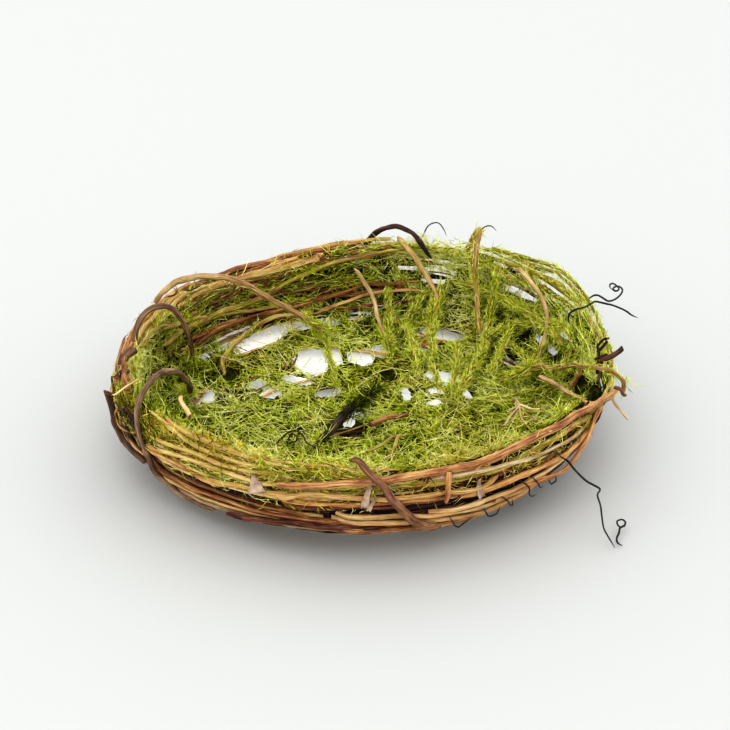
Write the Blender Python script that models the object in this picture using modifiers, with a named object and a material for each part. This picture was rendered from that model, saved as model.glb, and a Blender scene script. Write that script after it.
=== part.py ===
"""An empty nest, wound by hand: a shallow bowl of coiled vine, lined with green moss.

Metres, +Z up. The nest stands on its base coil at z = 0, and the middle of its outline is the origin.
Two ways give a place on it:
  shell place  (angle, up, out): the angle round the nest in degrees (0 right, 90 back), how far up the
               wall from the foot (below 0 it runs in across the floor), how far outside the wall's face;
  free place   (angle, radius, height), for vine that stands off the wall.
"""
import math

import bmesh
import bpy
from mathutils import Vector

NEST_NAME = "bird_nest"
MM = 0.001

# the bowl: outer face of the coils
FOOT_RADIUS = 0.0530
BELLY_RADIUS = 0.0740        # control point of the wall's curve, between foot and rim
BELLY_HEIGHT = 0.0060
RIM_RADIUS = 0.0700
RIM_HEIGHT = 0.0288
FOOT_SHIFT = 0.0051          # the foot stands this far to the left of the rim
NEST_AXIS = Vector((-0.00044, 0.00042, 0.0))   # where the nest's axis stands, with the outline centred on 0

# the rim's height is uneven: (angle at the middle, half width in degrees, rise)
RIM_SWELLS = ((62.0, 32.0, 0.0025), (122.0, 34.0, -0.0035))
# and the wall bulges and draws in: (angle at the middle, half width in degrees, change of radius at the rim)
WALL_SWELLS = ((-154.0, 26.0, 0.0045), (-45.0, 20.0, -0.0026), (10.0, 18.0, -0.0020))
LEVEL_FOOT = 0.0022          # below this height the nest is level

# vine
TURN_STEP = 12.0             # degrees from one point of a coil to the next
ROUTE_STEP = 0.0080          # distance between the points of a free vine
COIL_RADIUS = 0.0011
BASE_RADIUS = 0.0011
RIM_VINE_RADIUS = 0.0012
RIM_PROUD = 0.0003           # the rim vines stand this far outside the coils
WRAP_RADIUS = 0.0012
LOOP_RADIUS = 0.0013
THIN_LOOP_RADIUS = 0.0009
SPOKE_RADIUS = 0.0010
STUB_RADIUS = 0.0012
TENDRIL_RADIUS = 0.00045
GAP = 0.0004                 # between two pieces that touch
TIP_TAPER = 0.72             # a vine's thin end, against its thick end
FLOOR_TWIG_RADIUS = 0.0014
TENDRIL_STEP = 0.0028        # distance between the points of a tendril
SHORTEST_TURN = 2.0          # no two points of a coil are closer than this many degrees

COIL_COUNT = 10
COIL_FIRST_UP = 0.0012
COIL_PITCH = 0.00315
COIL_SPLICE = 7.0            # degrees between two lengths in one coil
FOOT_SPLICE = 16.0           # the same in the lowest coil, where light comes in

# moss
MOSS_THICKNESS = 0.0040
MOSS_OUT = -(2 * COIL_RADIUS + GAP + 0.0002)     # its outer face, inside the coils
MOSS_FACE = MOSS_OUT - MOSS_THICKNESS            # its inner face
MOSS_SAG = 0.0005            # on the wall, its facets lie up to this far inside the true curve
LEVEL_MOSS_UP = -0.0040      # below this place the moss is level
MOSS_ROWS = (-0.0360, -0.0180, 0.0, 0.0065, 0.0135, 0.0205, 0.0265)
MOSS_TOP = 0.0300            # where the moss ends at the back left, where the rim is bare vine
MOSS_TOP_RISE = 0.0072       # how much higher it reaches elsewhere
BARE_RIM_ANGLE = 135.0
BARE_RIM_WIDTH = 62.0
HOLE_CUT_DEPTH = 0.0600

# bark flakes
FLAKE_THICKNESS = 0.0005
FLAKE_CURL = 0.0010          # how far the ends of a flake stand off
FLAKE_LIFT = 0.0008          # middle of the flake, off the coils

COLOURS = {
    "vine_bark": ((0.42, 0.22, 0.11), 0.75),
    "vine_dark": ((0.14, 0.08, 0.07), 0.75),
    "vine_grey": ((0.27, 0.21, 0.18), 0.80),
    "vine_mossy": ((0.34, 0.30, 0.09), 0.85),
    "tendril_brown": ((0.05, 0.04, 0.035), 0.70),
    "moss_green": ((0.27, 0.38, 0.03), 0.95),
    "bark_flake": ((0.40, 0.30, 0.24), 0.85),
}


def swell(angle, middle, half_width):
    """1 at the middle angle, falling smoothly to 0 round it."""
    away = (angle - middle + 180.0) % 360.0 - 180.0
    return math.exp(-(away / half_width) ** 2)


def wall_curve():
    """The wall's outer face as (length along it, radius, height), foot to rim."""
    rows, length, last = [], 0.0, None
    for step in range(61):
        t = step / 60
        here = Vector(((1 - t) ** 2 * FOOT_RADIUS + 2 * t * (1 - t) * BELLY_RADIUS + t * t * RIM_RADIUS,
                       2 * t * (1 - t) * BELLY_HEIGHT + t * t * RIM_HEIGHT))
        if last is not None:
            length += (here - last).length
        rows.append((length, here))
        last = here
    return rows


WALL = wall_curve()


def wall_spot(up):
    """Radius and height on the wall's face, and its direction upwards."""
    if up < 0.0:
        return Vector((FOOT_RADIUS + up, 0.0)), Vector((1.0, 0.0))
    step = next((index for index, (length, _) in enumerate(WALL) if index and length >= up), len(WALL) - 1)
    low, start = WALL[step - 1]
    along = (WALL[step][1] - start).normalized()
    return start + along * (up - low), along


def settle(angle, radius, height):
    """A free place in the nest's own frame, leaning and swelling with the bowl."""
    turn = math.radians(angle)
    lean = FOOT_SHIFT * (1.0 - height / RIM_HEIGHT)
    share = max(0.0, height - LEVEL_FOOT) / (RIM_HEIGHT - LEVEL_FOOT)
    rise = sum(swell(angle, middle, half) * lift for middle, half, lift in RIM_SWELLS)
    radius += sum(swell(angle, middle, half) * bulge for middle, half, bulge in WALL_SWELLS) * share
    return NEST_AXIS + Vector((radius * math.cos(turn) - lean, radius * math.sin(turn), height + rise * share))


def shell_place(angle, up, out):
    spot, along = wall_spot(up)
    spot = spot + Vector((along.y, -along.x)) * out
    return settle(angle, spot.x, spot.y)


def on_wall(angle, up, lift=0.0):
    """Where the middle of a vine goes that lies on the coils' outer face, or stands off it by lift."""
    return shell_place(angle, up, WRAP_RADIUS + GAP + lift)


def on_moss(angle, up, lift=0.0):
    """The same on the moss, inside the bowl."""
    sag = MOSS_SAG if up > LEVEL_MOSS_UP else 0.0
    return shell_place(angle, up, MOSS_FACE - sag - SPOKE_RADIUS - GAP - lift)


def free_place(angle, radius, height):
    turn = math.radians(angle)
    return NEST_AXIS + Vector((radius * math.cos(turn), radius * math.sin(turn), height))


def shell_route(rows):
    """Shell places from angles in degrees, and ups and outs in millimetres."""
    return [shell_place(angle, up * MM, out * MM) for angle, up, out in rows]


def moss_route(rows):
    """Places on the moss from angles in degrees, and ups and lifts in millimetres."""
    return [on_moss(angle, up * MM, lift * MM) for angle, up, lift in rows]


def free_route(rows):
    """Free places from angles in degrees, and radii and heights in millimetres."""
    return [free_place(angle, radius * MM, height * MM) for angle, radius, height in rows]


def spline_point(a, b, c, d, t):
    """Catmull-Rom curve between b and c."""
    return 0.5 * (2 * b + (c - a) * t + (2 * a - 5 * b + 4 * c - d) * t * t
                  + (3 * b - a - 3 * c + d) * t ** 3)


def smooth_route(places, spacing):
    """Points at even distances along the smooth curve through the places."""
    ends = [2 * places[0] - places[1]] + list(places) + [2 * places[-1] - places[-2]]
    fine = [spline_point(*ends[i:i + 4], step / 16) for i in range(len(places) - 1) for step in range(16)]
    fine.append(places[-1])
    lengths = [0.0]
    for a, b in zip(fine, fine[1:]):
        lengths.append(lengths[-1] + (b - a).length)
    count = max(2, round(lengths[-1] / spacing))
    route, at = [fine[0]], 0
    for step in range(1, count):
        want = lengths[-1] * step / count
        while lengths[at + 1] < want:
            at += 1
        share = (want - lengths[at]) / (lengths[at + 1] - lengths[at])
        route.append(fine[at].lerp(fine[at + 1], share))
    return route + [fine[-1]]


def make_material(name):
    colour, roughness = COLOURS[name]
    material = bpy.data.materials.new(name)
    material.use_nodes = True
    shader = material.node_tree.nodes["Principled BSDF"]
    shader.inputs["Base Color"].default_value = (*colour, 1.0)
    shader.inputs["Roughness"].default_value = roughness
    shader.inputs["Metallic"].default_value = 0.0
    material.diffuse_color = (*colour, 1.0)
    return material


def add_vine(nest, name, route, radius, material, roundness=1, taper=TIP_TAPER):
    """A length of vine: a tube with filled ends, a little thinner towards its tip."""
    curve = bpy.data.curves.new(name, "CURVE")
    curve.dimensions = "3D"
    curve.twist_mode = "Z_UP"
    curve.bevel_depth = radius
    curve.bevel_resolution = roundness
    curve.use_fill_caps = True
    spline = curve.splines.new("POLY")
    spline.points.add(len(route) - 1)
    for index, (point, place) in enumerate(zip(spline.points, route)):
        point.co = (*place, 1.0)
        point.radius = 1.0 - (1.0 - taper) * index / (len(route) - 1)
    curve.materials.append(material)
    nest.objects.link(bpy.data.objects.new(name, curve))


def arc(start, sweep, place):
    """Places every TURN_STEP degrees from start, with a last one where the sweep ends."""
    steps = math.ceil(sweep / TURN_STEP)
    angles = [math.ceil(start / TURN_STEP) * TURN_STEP + TURN_STEP * i for i in range(steps)]
    end = start + sweep
    angles = [angle for angle in angles if start + SHORTEST_TURN < angle < end - SHORTEST_TURN]
    return [place(angle) for angle in [start] + angles + [end]]


def make_base(nest, looks):
    """The coil that the nest stands on, and the length that crosses it under the moss."""
    flat = -BASE_RADIUS * math.cos(math.radians(30))     # the tube's underside is a flat of its hexagon
    for index, (inset, start, sweep) in enumerate(((0.0030, 141, 342), (0.0115, 20, 340), (0.0205, 220, 330),
                                                 (0.0310, 60, 315))):
        route = arc(start, sweep, lambda angle, inset=inset: shell_place(angle, -inset, flat))
        add_vine(nest, f"base_vine_{index + 1}", route, BASE_RADIUS, looks["vine_bark"], taper=1.0)


def make_coils(nest, looks):
    """The wall: one coil above the other, each of one or two lengths with cut ends."""
    number = 0
    for row in range(COIL_COUNT):
        up = COIL_FIRST_UP + COIL_PITCH * row
        lengths = 1 if row in (1, 3, 5, 8) else 2
        for piece in range(lengths):
            number += 1
            sweep = 360.0 / lengths - (COIL_SPLICE if row else FOOT_SPLICE)
            start = 130.0 + 83.0 * row + piece * 360.0 / lengths
            route = arc(start, sweep, lambda angle, up=up: shell_place(angle, up, -COIL_RADIUS))
            look = looks["vine_dark"] if number % 4 == 0 else looks["vine_bark"]
            add_vine(nest, f"coil_vine_{number:02d}", route, COIL_RADIUS, look)


def moss_top(angle):
    return MOSS_TOP + MOSS_TOP_RISE * (1.0 - swell(angle, BARE_RIM_ANGLE, BARE_RIM_WIDTH))


def make_rim(nest, looks):
    """The edge: two lengths outside the moss all the way round, two more on top where the rim is bare."""
    last_coil = COIL_FIRST_UP + COIL_PITCH * (COIL_COUNT - 1)
    up = last_coil + COIL_RADIUS + RIM_VINE_RADIUS + GAP
    edge = RIM_PROUD - RIM_VINE_RADIUS
    rows = (("rim_vine_1", 84, 186, up, edge),
            ("rim_vine_2", 276, 160, up, edge),
            ("rim_vine_3", 98, 58, up + 0.0031, -0.0018),
            ("rim_vine_4", 104, 50, up + 0.0019, -0.0053))
    for name, start, sweep, height, out in rows:
        route = arc(start, sweep, lambda angle, height=height, out=out: shell_place(angle, height, out))
        add_vine(nest, name, route, RIM_VINE_RADIUS, looks["vine_bark"])


def make_inner(nest, looks):
    """Lengths against the inside of the moss, most of them at the back left."""
    rows = ((86, 84, 0.0270, "vine_bark"), (100, 66, 0.0205, "vine_bark"),
            (72, 80, 0.0145, "vine_bark"), (16, 46, 0.0235, "vine_mossy"))
    for index, (start, sweep, up, look) in enumerate(rows):
        route = arc(start, sweep, lambda angle, up=up: on_moss(angle, up, COIL_RADIUS - SPOKE_RADIUS))
        add_vine(nest, f"inner_vine_{index + 1}", route, COIL_RADIUS, looks[look])


def add_free_vine(nest, name, places, radius, look, roundness=1, taper=TIP_TAPER, spacing=ROUTE_STEP):
    add_vine(nest, name, smooth_route(places, spacing), radius, look, roundness, taper)


def make_wraps(nest, looks):
    """Lengths aslant over the outside of the coils: angle and height up the wall of each place."""
    rows = {"wrap_vine_front": ("vine_grey", ((-89.5, 0.0277), (-86, 0.0240), (-81, 0.0190), (-74, 0.0125))),
            "wrap_vine_low": ("vine_bark", ((-121, 0.0172), (-110, 0.0196), (-98, 0.0206), (-91, 0.0205))),
            "wrap_vine_back": ("vine_dark", ((35, 0.0110), (60, 0.0160), (85, 0.0220), (110, 0.0270)))}
    for name, (look, places) in rows.items():
        add_free_vine(nest, name, [on_wall(*place, RIM_PROUD) for place in places], WRAP_RADIUS, looks[look])
    # the long one climbs from the wall on to the top of the rim
    climb = shell_route((
        (-106, 27.2, 1.9), (-97, 30.0, 1.9), (-90, 32.2, 2.0), (-84, 33.6, 1.9), (-76, 35.0, 1.2), (-66, 36.3, 0.3),
        (-55, 36.8, 0.0), (-44, 36.6, 0.0), (-31, 35.5, 0.0), (-21, 33.4, 1.0), (-14, 31.0, 1.9)))
    add_free_vine(nest, "wrap_vine_long", climb, WRAP_RADIUS, looks["vine_bark"])


def make_loops(nest, looks):
    """Bowed lengths that stand off the rim, from the end on the wall to the end on the moss."""
    tan = free_route((
        (161.5, 68.2, 28.7), (162.9, 66.6, 31.0), (162.2, 64.9, 33.4), (158.0, 62.6, 34.9), (152.8, 57.4, 35.3),
        (148.4, 51.5, 34.2), (143.9, 45.2, 31.2), (136.7, 40.1, 26.0), (125.0, 39.2, 19.0), (115.5, 39.6, 12.8),
        (110.5, 42.5, 9.8))) + [on_moss(106.5, -0.0090)]
    purple = free_route((
        (171.2, 68.4, 28.9), (174.0, 67.2, 31.0), (173.6, 64.6, 33.8), (172.0, 62.0, 34.4), (170.2, 59.1, 32.4),
        (169.0, 56.6, 27.5), (167.2, 55.2, 21.5), (163.2, 56.4, 13.8))) + [on_moss(158.0, 0.0065)]
    grey = [on_moss(176, -0.0020)] + free_route((
        (-177.0, 53.2, 13.5), (-171.0, 54.2, 20.0), (-163.3, 57.7, 27.0), (-156.6, 63.0, 31.8),
        (-150.3, 69.2, 34.0), (-147.4, 73.6, 33.5)))
    grey += [on_wall(-147.1, 0.0375), on_wall(-146.2, 0.0338), on_wall(-144.5, 0.0300), on_wall(-142, 0.0250),
             on_wall(-141.5, 0.0190), on_wall(-135, 0.0145), on_wall(-125, 0.0146)]
    dark = shell_route((
        (92.0, 30.5, 1.4), (89.9, 35.2, 1.6), (88.6, 37.4, 1.0), (86.9, 39.2, 0.0), (84.8, 40.8, -2.0),
        (82.8, 41.0, -3.5), (80.5, 40.8, -5.0), (78.2, 40.2, -6.5), (75.8, 38.2, -8.0), (73.8, 35.9, -8.6),
        (71.8, 33.0, -8.6)))
    loops = {"tan": (tan, LOOP_RADIUS, "vine_bark"), "purple": (purple, LOOP_RADIUS, "vine_dark"),
             "grey": (grey, LOOP_RADIUS, "vine_grey"), "dark": (dark, THIN_LOOP_RADIUS, "vine_dark")}
    for name, (places, radius, look) in loops.items():
        add_free_vine(nest, f"loop_vine_{name}", places, radius, looks[look])


def make_spokes(nest, looks):
    """Lengths that lean down the inside: angle, height up the wall, lift off the moss of each place."""
    over = 2 * COIL_RADIUS + GAP         # clears an inner vine that the spoke crosses
    rows = {"spoke_1": ("vine_bark", ((94.5, 0.0310, over), (91, 0.0225, over), (87, 0.0080, over),
                                      (83, -0.0080, 0.0010), (75, -0.0210, 0.0))),
            "spoke_4": ("vine_bark", ((42.0, 0.0350, over), (33.6, 0.0300, over + 0.0010),
                                      (27.2, 0.0236, over + 0.0010), (22.0, 0.0135, 0.0012), (17.2, 0.0052, 0.0))),
            "spoke_5": ("vine_mossy", ((49.0, -0.0110, 0.0), (34, -0.0180, 0.0010), (4, -0.0270, 0.0))),
            "spoke_6": ("vine_mossy", ((72, -0.0080, 0.0), (64, -0.0180, 0.0008), (42, -0.0300, 0.0)))}
    for name, (look, places) in rows.items():
        add_free_vine(nest, name, [on_moss(*place) for place in places], SPOKE_RADIUS, looks[look])
    over_rim = shell_route((
        (83.1, 36.6, -2.0), (81.1, 36.9, -6.0), (79.2, 36.3, -8.8), (76.8, 33.3, -9.0), (73.8, 27.8, -9.0),
        (70.8, 22.2, -9.0), (68.0, 17.0, -9.0), (65.9, 11.3, -9.0), (64.5, 2.5, -9.0)))
    add_free_vine(nest, "spoke_2", over_rim, SPOKE_RADIUS, looks["vine_bark"])
    hooked = [on_wall(65, 0.0290), on_wall(63.5, 0.0368, 0.0006), shell_place(60.5, 0.0410, -0.0030),
              on_moss(57.6, 0.0375, over), on_moss(54.5, 0.0240, over), on_moss(51.5, 0.0120, 0.0020),
              on_moss(45.8, -0.0010)]
    add_free_vine(nest, "spoke_3", hooked, LOOP_RADIUS, looks["vine_bark"])


def make_trim(nest, looks):
    """The arch over the dark hollow at the right, the twigs on the floor, and the cut stubs."""
    inside = moss_route((
        (13.9, -0.9, 0.3), (13.5, 8.6, 0.4), (10.7, 15.6, 0.7), (5.6, 19.2, 0.9), (-0.6, 27.0, 1.2)))
    over = free_route((
        (-9.0, 59.8, 27.0), (-13.5, 62.4, 31.2), (-17.0, 64.8, 32.2), (-20.0, 67.3, 32.9), (-21.6, 69.8, 33.2),
        (-22.2, 72.4, 32.4), (-21.4, 73.9, 30.6)))
    add_free_vine(nest, "rim_arch", inside + over, WRAP_RADIUS, looks["vine_mossy"])
    thick = [on_moss(-113, -0.0270, 0.0004), on_moss(-113, -0.0340, 0.0010), on_moss(-112, -0.0410, 0.0018),
             on_moss(-105, -0.0455, 0.0026)]
    add_free_vine(nest, "floor_twig_dark", thick, FLOOR_TWIG_RADIUS, looks["vine_dark"])
    thin = [on_moss(-80, -0.0375, 0.0), on_moss(-58, -0.0385, 0.0004), on_moss(-34, -0.0365, 0.0)]
    add_free_vine(nest, "floor_twig_red", thin, SPOKE_RADIUS, looks["vine_bark"])
    left = [on_wall(-160.5, 0.0316, 0.0015), on_wall(-161, 0.0265), on_wall(-157, 0.0223), on_wall(-150.5, 0.0205)]
    top = MOSS_TOP + MOSS_TOP_RISE + 3 * GAP + STUB_RADIUS       # the moss's inner edge stands up a little
    right = [shell_place(-13, top, -0.0050), shell_place(-10, top, -0.0015),
             shell_place(-7.5, top + MM, 0.0020)]
    for name, places in {"stub_left": left, "stub_right": right}.items():
        add_free_vine(nest, name, places, STUB_RADIUS, looks["vine_dark"], taper=1.0)


def make_tendrils(nest, looks):
    """Dark curly shoots, thin and four-sided, each fork a length of its own."""
    roots = {"upper": [on_moss(18.5, 0.0310), shell_place(16.5, 0.0365, -0.0083), shell_place(13.5, 0.0398, -0.0072),
                       shell_place(10.5, 0.0418, -0.0045)],
             "lower": [shell_place(-42.8, 0.0276, 0.0009)]}
    # the rest of each, as angle, radius and height in millimetres
    shoots = {"upper": ((8.8, 65.8, 35.3), (7.0, 69.3, 35.7), (5.6, 71.1, 35.6), (3.8, 73.1, 35.3), (1.8, 74.3, 35.0),
                        (0.6, 75.4, 34.6)),
              "curl": ((10.8, 65.6, 36.6), (10.2, 67.0, 36.9), (8.2, 68.0, 36.9), (7.6, 69.2, 37.0),
                       (8.6, 71.0, 37.2), (10.1, 72.6, 37.4), (11.5, 73.9, 37.4), (12.9, 74.4, 37.4),
                       (13.9, 73.9, 37.4), (13.5, 72.7, 37.4), (12.1, 72.3, 37.4)),
              "lower": ((-43.8, 71.5, 18.2), (-44.5, 74.6, 17.3), (-43.8, 77.7, 15.0), (-42.6, 78.8, 13.5),
                        (-41.5, 80.1, 12.0), (-42.3, 80.1, 10.6), (-43.1, 82.1, 8.6), (-44.1, 84.0, 6.6),
                        (-45.0, 85.9, 4.4), (-45.2, 88.0, 2.6), (-45.4, 90.4, 1.0)),
              "ring": ((-44.2, 91.2, 0.9), (-44.0, 89.4, 0.9), (-43.2, 88.2, 1.2), (-41.9, 87.5, 1.6),
                       (-40.9, 86.7, 2.0), (-40.0, 87.1, 2.3), (-39.1, 86.6, 2.5), (-38.8, 85.4, 2.6),
                       (-39.6, 84.9, 2.7), (-40.4, 85.3, 3.0))}
    for name, places in shoots.items():
        route = roots.get(name, []) + free_route(places)
        add_free_vine(nest, f"tendril_{name}", route, TENDRIL_RADIUS, looks["tendril_brown"], roundness=0,
                      taper=TIP_TAPER, spacing=TENDRIL_STEP)


def make_flakes(nest, looks):
    """Loose strips of bark on the front wall: angle and up of the middle, length, width, turn."""
    rows = {"bark_flake_1": (-115.0, 0.0300, 0.0065, 0.0035, 60.0),
            "bark_flake_2": (-66.0, 0.0262, 0.0060, 0.0028, 15.0)}
    for name, (angle, up, length, width, turn) in rows.items():
        middle = shell_place(angle, up, FLAKE_LIFT)
        outwards = (shell_place(angle, up, 2 * FLAKE_LIFT) - middle).normalized()
        sideways = outwards.cross(Vector((0, 0, 1))).normalized()
        upwards = sideways.cross(outwards)
        lean = math.radians(turn)
        along = sideways * math.cos(lean) + upwards * math.sin(lean)
        across = outwards.cross(along)
        shape = bmesh.new()
        bmesh.ops.create_grid(shape, x_segments=4, y_segments=1, size=0.5)
        for vert in shape.verts:
            x, y = vert.co.x, vert.co.y
            curl = FLAKE_CURL * (2 * x) ** 2
            vert.co = middle + along * (x * length) + across * (y * width * (1.2 - abs(x))) + outwards * curl
        mesh = bpy.data.meshes.new(name)
        shape.to_mesh(mesh)
        shape.free()
        mesh.materials.append(looks["bark_flake"])
        flake = bpy.data.objects.new(name, mesh)
        nest.objects.link(flake)
        wall = flake.modifiers.new("bark thickness", "SOLIDIFY")
        wall.thickness = FLAKE_THICKNESS
        wall.offset = 0.0


def make_moss(nest, cutters, looks):
    """The lining: an open sheet laid inside the coils and over the floor, thickened inwards, with holes."""
    rows = [lambda angle, up=up: up for up in MOSS_ROWS] + [moss_top]
    shape = bmesh.new()
    bmesh.ops.create_circle(shape, cap_ends=True, cap_tris=True, segments=round(360 / TURN_STEP), radius=1.0)
    edge = [item for item in shape.edges if item.is_boundary]
    for ring in range(1, len(rows)):                     # grown flat, a ring of unit width at a time
        grown = bmesh.ops.extrude_edge_only(shape, edges=edge)["geom"]
        edge = [item for item in grown if isinstance(item, bmesh.types.BMEdge) and item.is_boundary]
        for vert in (item for item in grown if isinstance(item, bmesh.types.BMVert)):
            vert.co *= (ring + 1) / ring
    for vert in shape.verts:
        ring = round(vert.co.length)
        angle = math.degrees(math.atan2(vert.co.y, vert.co.x))
        up = rows[ring - 1](angle) if ring else -FOOT_RADIUS
        vert.co = shell_place(angle, up, MOSS_OUT)
    bmesh.ops.recalc_face_normals(shape, faces=shape.faces)
    if sum(face.normal.z for face in shape.faces) < 0:
        bmesh.ops.reverse_faces(shape, faces=shape.faces)
    mesh = bpy.data.meshes.new("moss_lining")
    shape.to_mesh(mesh)
    shape.free()
    mesh.materials.append(looks["moss_green"])
    moss = bpy.data.objects.new("moss_lining", mesh)
    nest.objects.link(moss)
    wall = moss.modifiers.new("moss thickness", "SOLIDIFY")
    wall.thickness = MOSS_THICKNESS
    wall.offset = 1.0
    cut_moss_holes(moss, cutters)


def cut_moss_holes(moss, cutters):
    """See-through holes: angle, up, half length, half width, turn away from the wall's own direction."""
    rows = ((129.0, -0.0030, 0.0085, 0.0036, 0.0), (119.0, -0.0212, 0.0050, 0.0046, 0.0),
            (97.0, -0.0262, 0.0066, 0.0038, 10.0), (56.0, -0.0030, 0.0056, 0.0026, 0.0),
            (26.0, -0.0240, 0.0042, 0.0030, 60.0), (166.0, -0.0240, 0.0040, 0.0026, 30.0),
            (176.5, -0.0075, 0.0038, 0.0022, 0.0))
    for index, (angle, up, length, width, turn) in enumerate(rows):
        place = shell_place(angle, up, 0.0)
        bpy.ops.mesh.primitive_cylinder_add(vertices=8, radius=1.0, depth=HOLE_CUT_DEPTH,
                                            location=(place.x, place.y, RIM_HEIGHT / 2))
        cutter = bpy.context.object
        cutter.name = f"moss_hole_{index + 1}"
        for vert in cutter.data.vertices:
            vert.co.x *= length
            vert.co.y *= width
        cutter.rotation_euler.z = math.radians(angle + 90.0 + turn)
        cutter.hide_render = True
        cutter.display_type = "WIRE"
        for holder in cutter.users_collection:
            holder.objects.unlink(cutter)
        cutters.objects.link(cutter)
        cut = moss.modifiers.new(cutter.name, "BOOLEAN")
        cut.operation = "DIFFERENCE"
        cut.object = cutter
        cut.solver = "EXACT"


def main():
    for thing in list(bpy.data.objects):
        bpy.data.objects.remove(thing)
    nest = bpy.data.collections.new(NEST_NAME)
    cutters = bpy.data.collections.new("cutters")
    for group in (nest, cutters):
        bpy.context.scene.collection.children.link(group)
    looks = {name: make_material(name) for name in COLOURS}
    make_base(nest, looks)
    make_coils(nest, looks)
    make_rim(nest, looks)
    make_inner(nest, looks)
    make_wraps(nest, looks)
    make_loops(nest, looks)
    make_spokes(nest, looks)
    make_trim(nest, looks)
    make_tendrils(nest, looks)
    make_flakes(nest, looks)
    make_moss(nest, cutters, looks)


main()
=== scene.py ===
"""An empty nest, wound by hand from dried vine and lined with green moss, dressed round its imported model.

Places and lengths in this file are millimetres, +Z up, and become metres where a mesh is made. The floor,
the lamps and the welds and thicknesses named below are metres. As in the part, a shell place is (angle round
the nest in degrees, up the wall from the foot, outside the wall's face), and below 0 the second number runs
in across the floor.
"""
import math

import bmesh
import bpy
import numpy as np
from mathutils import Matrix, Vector


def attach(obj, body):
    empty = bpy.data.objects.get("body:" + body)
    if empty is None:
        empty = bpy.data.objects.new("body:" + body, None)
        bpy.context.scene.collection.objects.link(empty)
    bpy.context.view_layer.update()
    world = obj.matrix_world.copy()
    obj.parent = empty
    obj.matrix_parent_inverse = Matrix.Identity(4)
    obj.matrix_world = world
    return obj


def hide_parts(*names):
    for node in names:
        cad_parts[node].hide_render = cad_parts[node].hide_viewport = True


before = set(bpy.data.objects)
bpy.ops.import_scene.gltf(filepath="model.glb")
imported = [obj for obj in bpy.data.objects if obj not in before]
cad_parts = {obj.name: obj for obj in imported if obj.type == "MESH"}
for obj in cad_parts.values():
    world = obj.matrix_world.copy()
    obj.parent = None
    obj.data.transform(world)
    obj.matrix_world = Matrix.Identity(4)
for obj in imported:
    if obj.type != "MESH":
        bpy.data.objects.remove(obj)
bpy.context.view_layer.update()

MM = 0.001
chance = np.random.default_rng(20)

# ---------------------------------------------------------------- the bowl, with the part's own numbers
FOOT_RADIUS, BELLY_RADIUS, BELLY_HEIGHT, RIM_RADIUS, RIM_HEIGHT = 53.0, 74.0, 6.0, 70.0, 28.8
FOOT_SHIFT = 5.1
AXIS_X, AXIS_Y = -0.44, 0.42
RIM_SWELLS = ((62.0, 32.0, 2.5), (122.0, 34.0, -3.5))
WALL_SWELLS = ((-154.0, 26.0, 4.5), (-45.0, 20.0, -2.6), (10.0, 18.0, -2.0))
LEVEL_FOOT = 2.2
COIL_RADIUS, WRAP_RADIUS, SPOKE_RADIUS, GAP = 1.1, 1.2, 1.0, 0.4
MOSS_FACE = -6.8             # the lining's inner face
RIM_UP = 32.25
LOWEST_COIL, COIL_PITCH = 1.2, 3.15
OVER_INNER = 2 * COIL_RADIUS + GAP     # how far a spoke lifts to cross an inner vine
WELD, MAT_WELD = 0.000001, 0.00001
HUSK_WALL, MAT_WALL = 0.0003, 0.0008
FLOOR_SIZE, FLOOR_DROP = 3.0, 0.0002
SHARP_ANGLE = math.radians(55)
CAMERA_LENS, CAMERA_SENSOR = 92.3, 36.0
LOOK_AT, LOOK_DOWN, LOOK_FROM = (-2.94, 8.92, 15.0), math.radians(29.5), 550.0
EYE = np.array(LOOK_AT) + (0.0, -LOOK_FROM * math.cos(LOOK_DOWN), LOOK_FROM * math.sin(LOOK_DOWN))

bend = np.linspace(0.0, 1.0, 61)
WALL_RADIUS = (1 - bend) ** 2 * FOOT_RADIUS + 2 * bend * (1 - bend) * BELLY_RADIUS + bend ** 2 * RIM_RADIUS
WALL_HEIGHT = 2 * bend * (1 - bend) * BELLY_HEIGHT + bend ** 2 * RIM_HEIGHT
WALL_UP = np.concatenate([[0.0], np.cumsum(np.hypot(np.diff(WALL_RADIUS), np.diff(WALL_HEIGHT)))])
WALL_LEAN = np.arctan2(np.gradient(WALL_HEIGHT), np.gradient(WALL_RADIUS))


def swell(angle, middle, half_width):
    """1 at the middle angle, falling smoothly to 0 round it."""
    away = (np.asarray(angle, float) - middle + 180.0) % 360.0 - 180.0
    return np.exp(-(away / half_width) ** 2)


def settle(angle, radius, height):
    """Places in the nest's own frame, leaning and swelling with the bowl."""
    turn = np.radians(angle)
    lean = FOOT_SHIFT * (1.0 - height / RIM_HEIGHT)
    share = np.maximum(0.0, height - LEVEL_FOOT) / (RIM_HEIGHT - LEVEL_FOOT)
    rise = sum(swell(angle, middle, half) * lift for middle, half, lift in RIM_SWELLS)
    radius = radius + sum(swell(angle, middle, half) * bulge for middle, half, bulge in WALL_SWELLS) * share
    return np.stack([AXIS_X + radius * np.cos(turn) - lean, AXIS_Y + radius * np.sin(turn),
                     height + rise * share], axis=-1)


def shell(angle, up, out):
    angle, up, out = np.broadcast_arrays(*(np.asarray(given, float) for given in (angle, up, out)))
    past = np.maximum(0.0, up - WALL_UP[-1])
    lean = np.where(up < 0.0, 0.0, np.interp(up, WALL_UP, WALL_LEAN))
    radius = np.interp(up, WALL_UP, WALL_RADIUS) + np.minimum(up, 0.0) + past * np.cos(lean)
    height = np.interp(up, WALL_UP, WALL_HEIGHT) + past * np.sin(lean)
    return settle(angle, radius + np.sin(lean) * out, height - np.cos(lean) * out)


def on_wall(angle, up, lift=0.0):
    return shell(angle, up, WRAP_RADIUS + GAP + lift)


def on_moss(angle, up, lift=0.0):
    return shell(angle, up, MOSS_FACE - 0.5 - SPOKE_RADIUS - GAP - lift)


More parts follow.
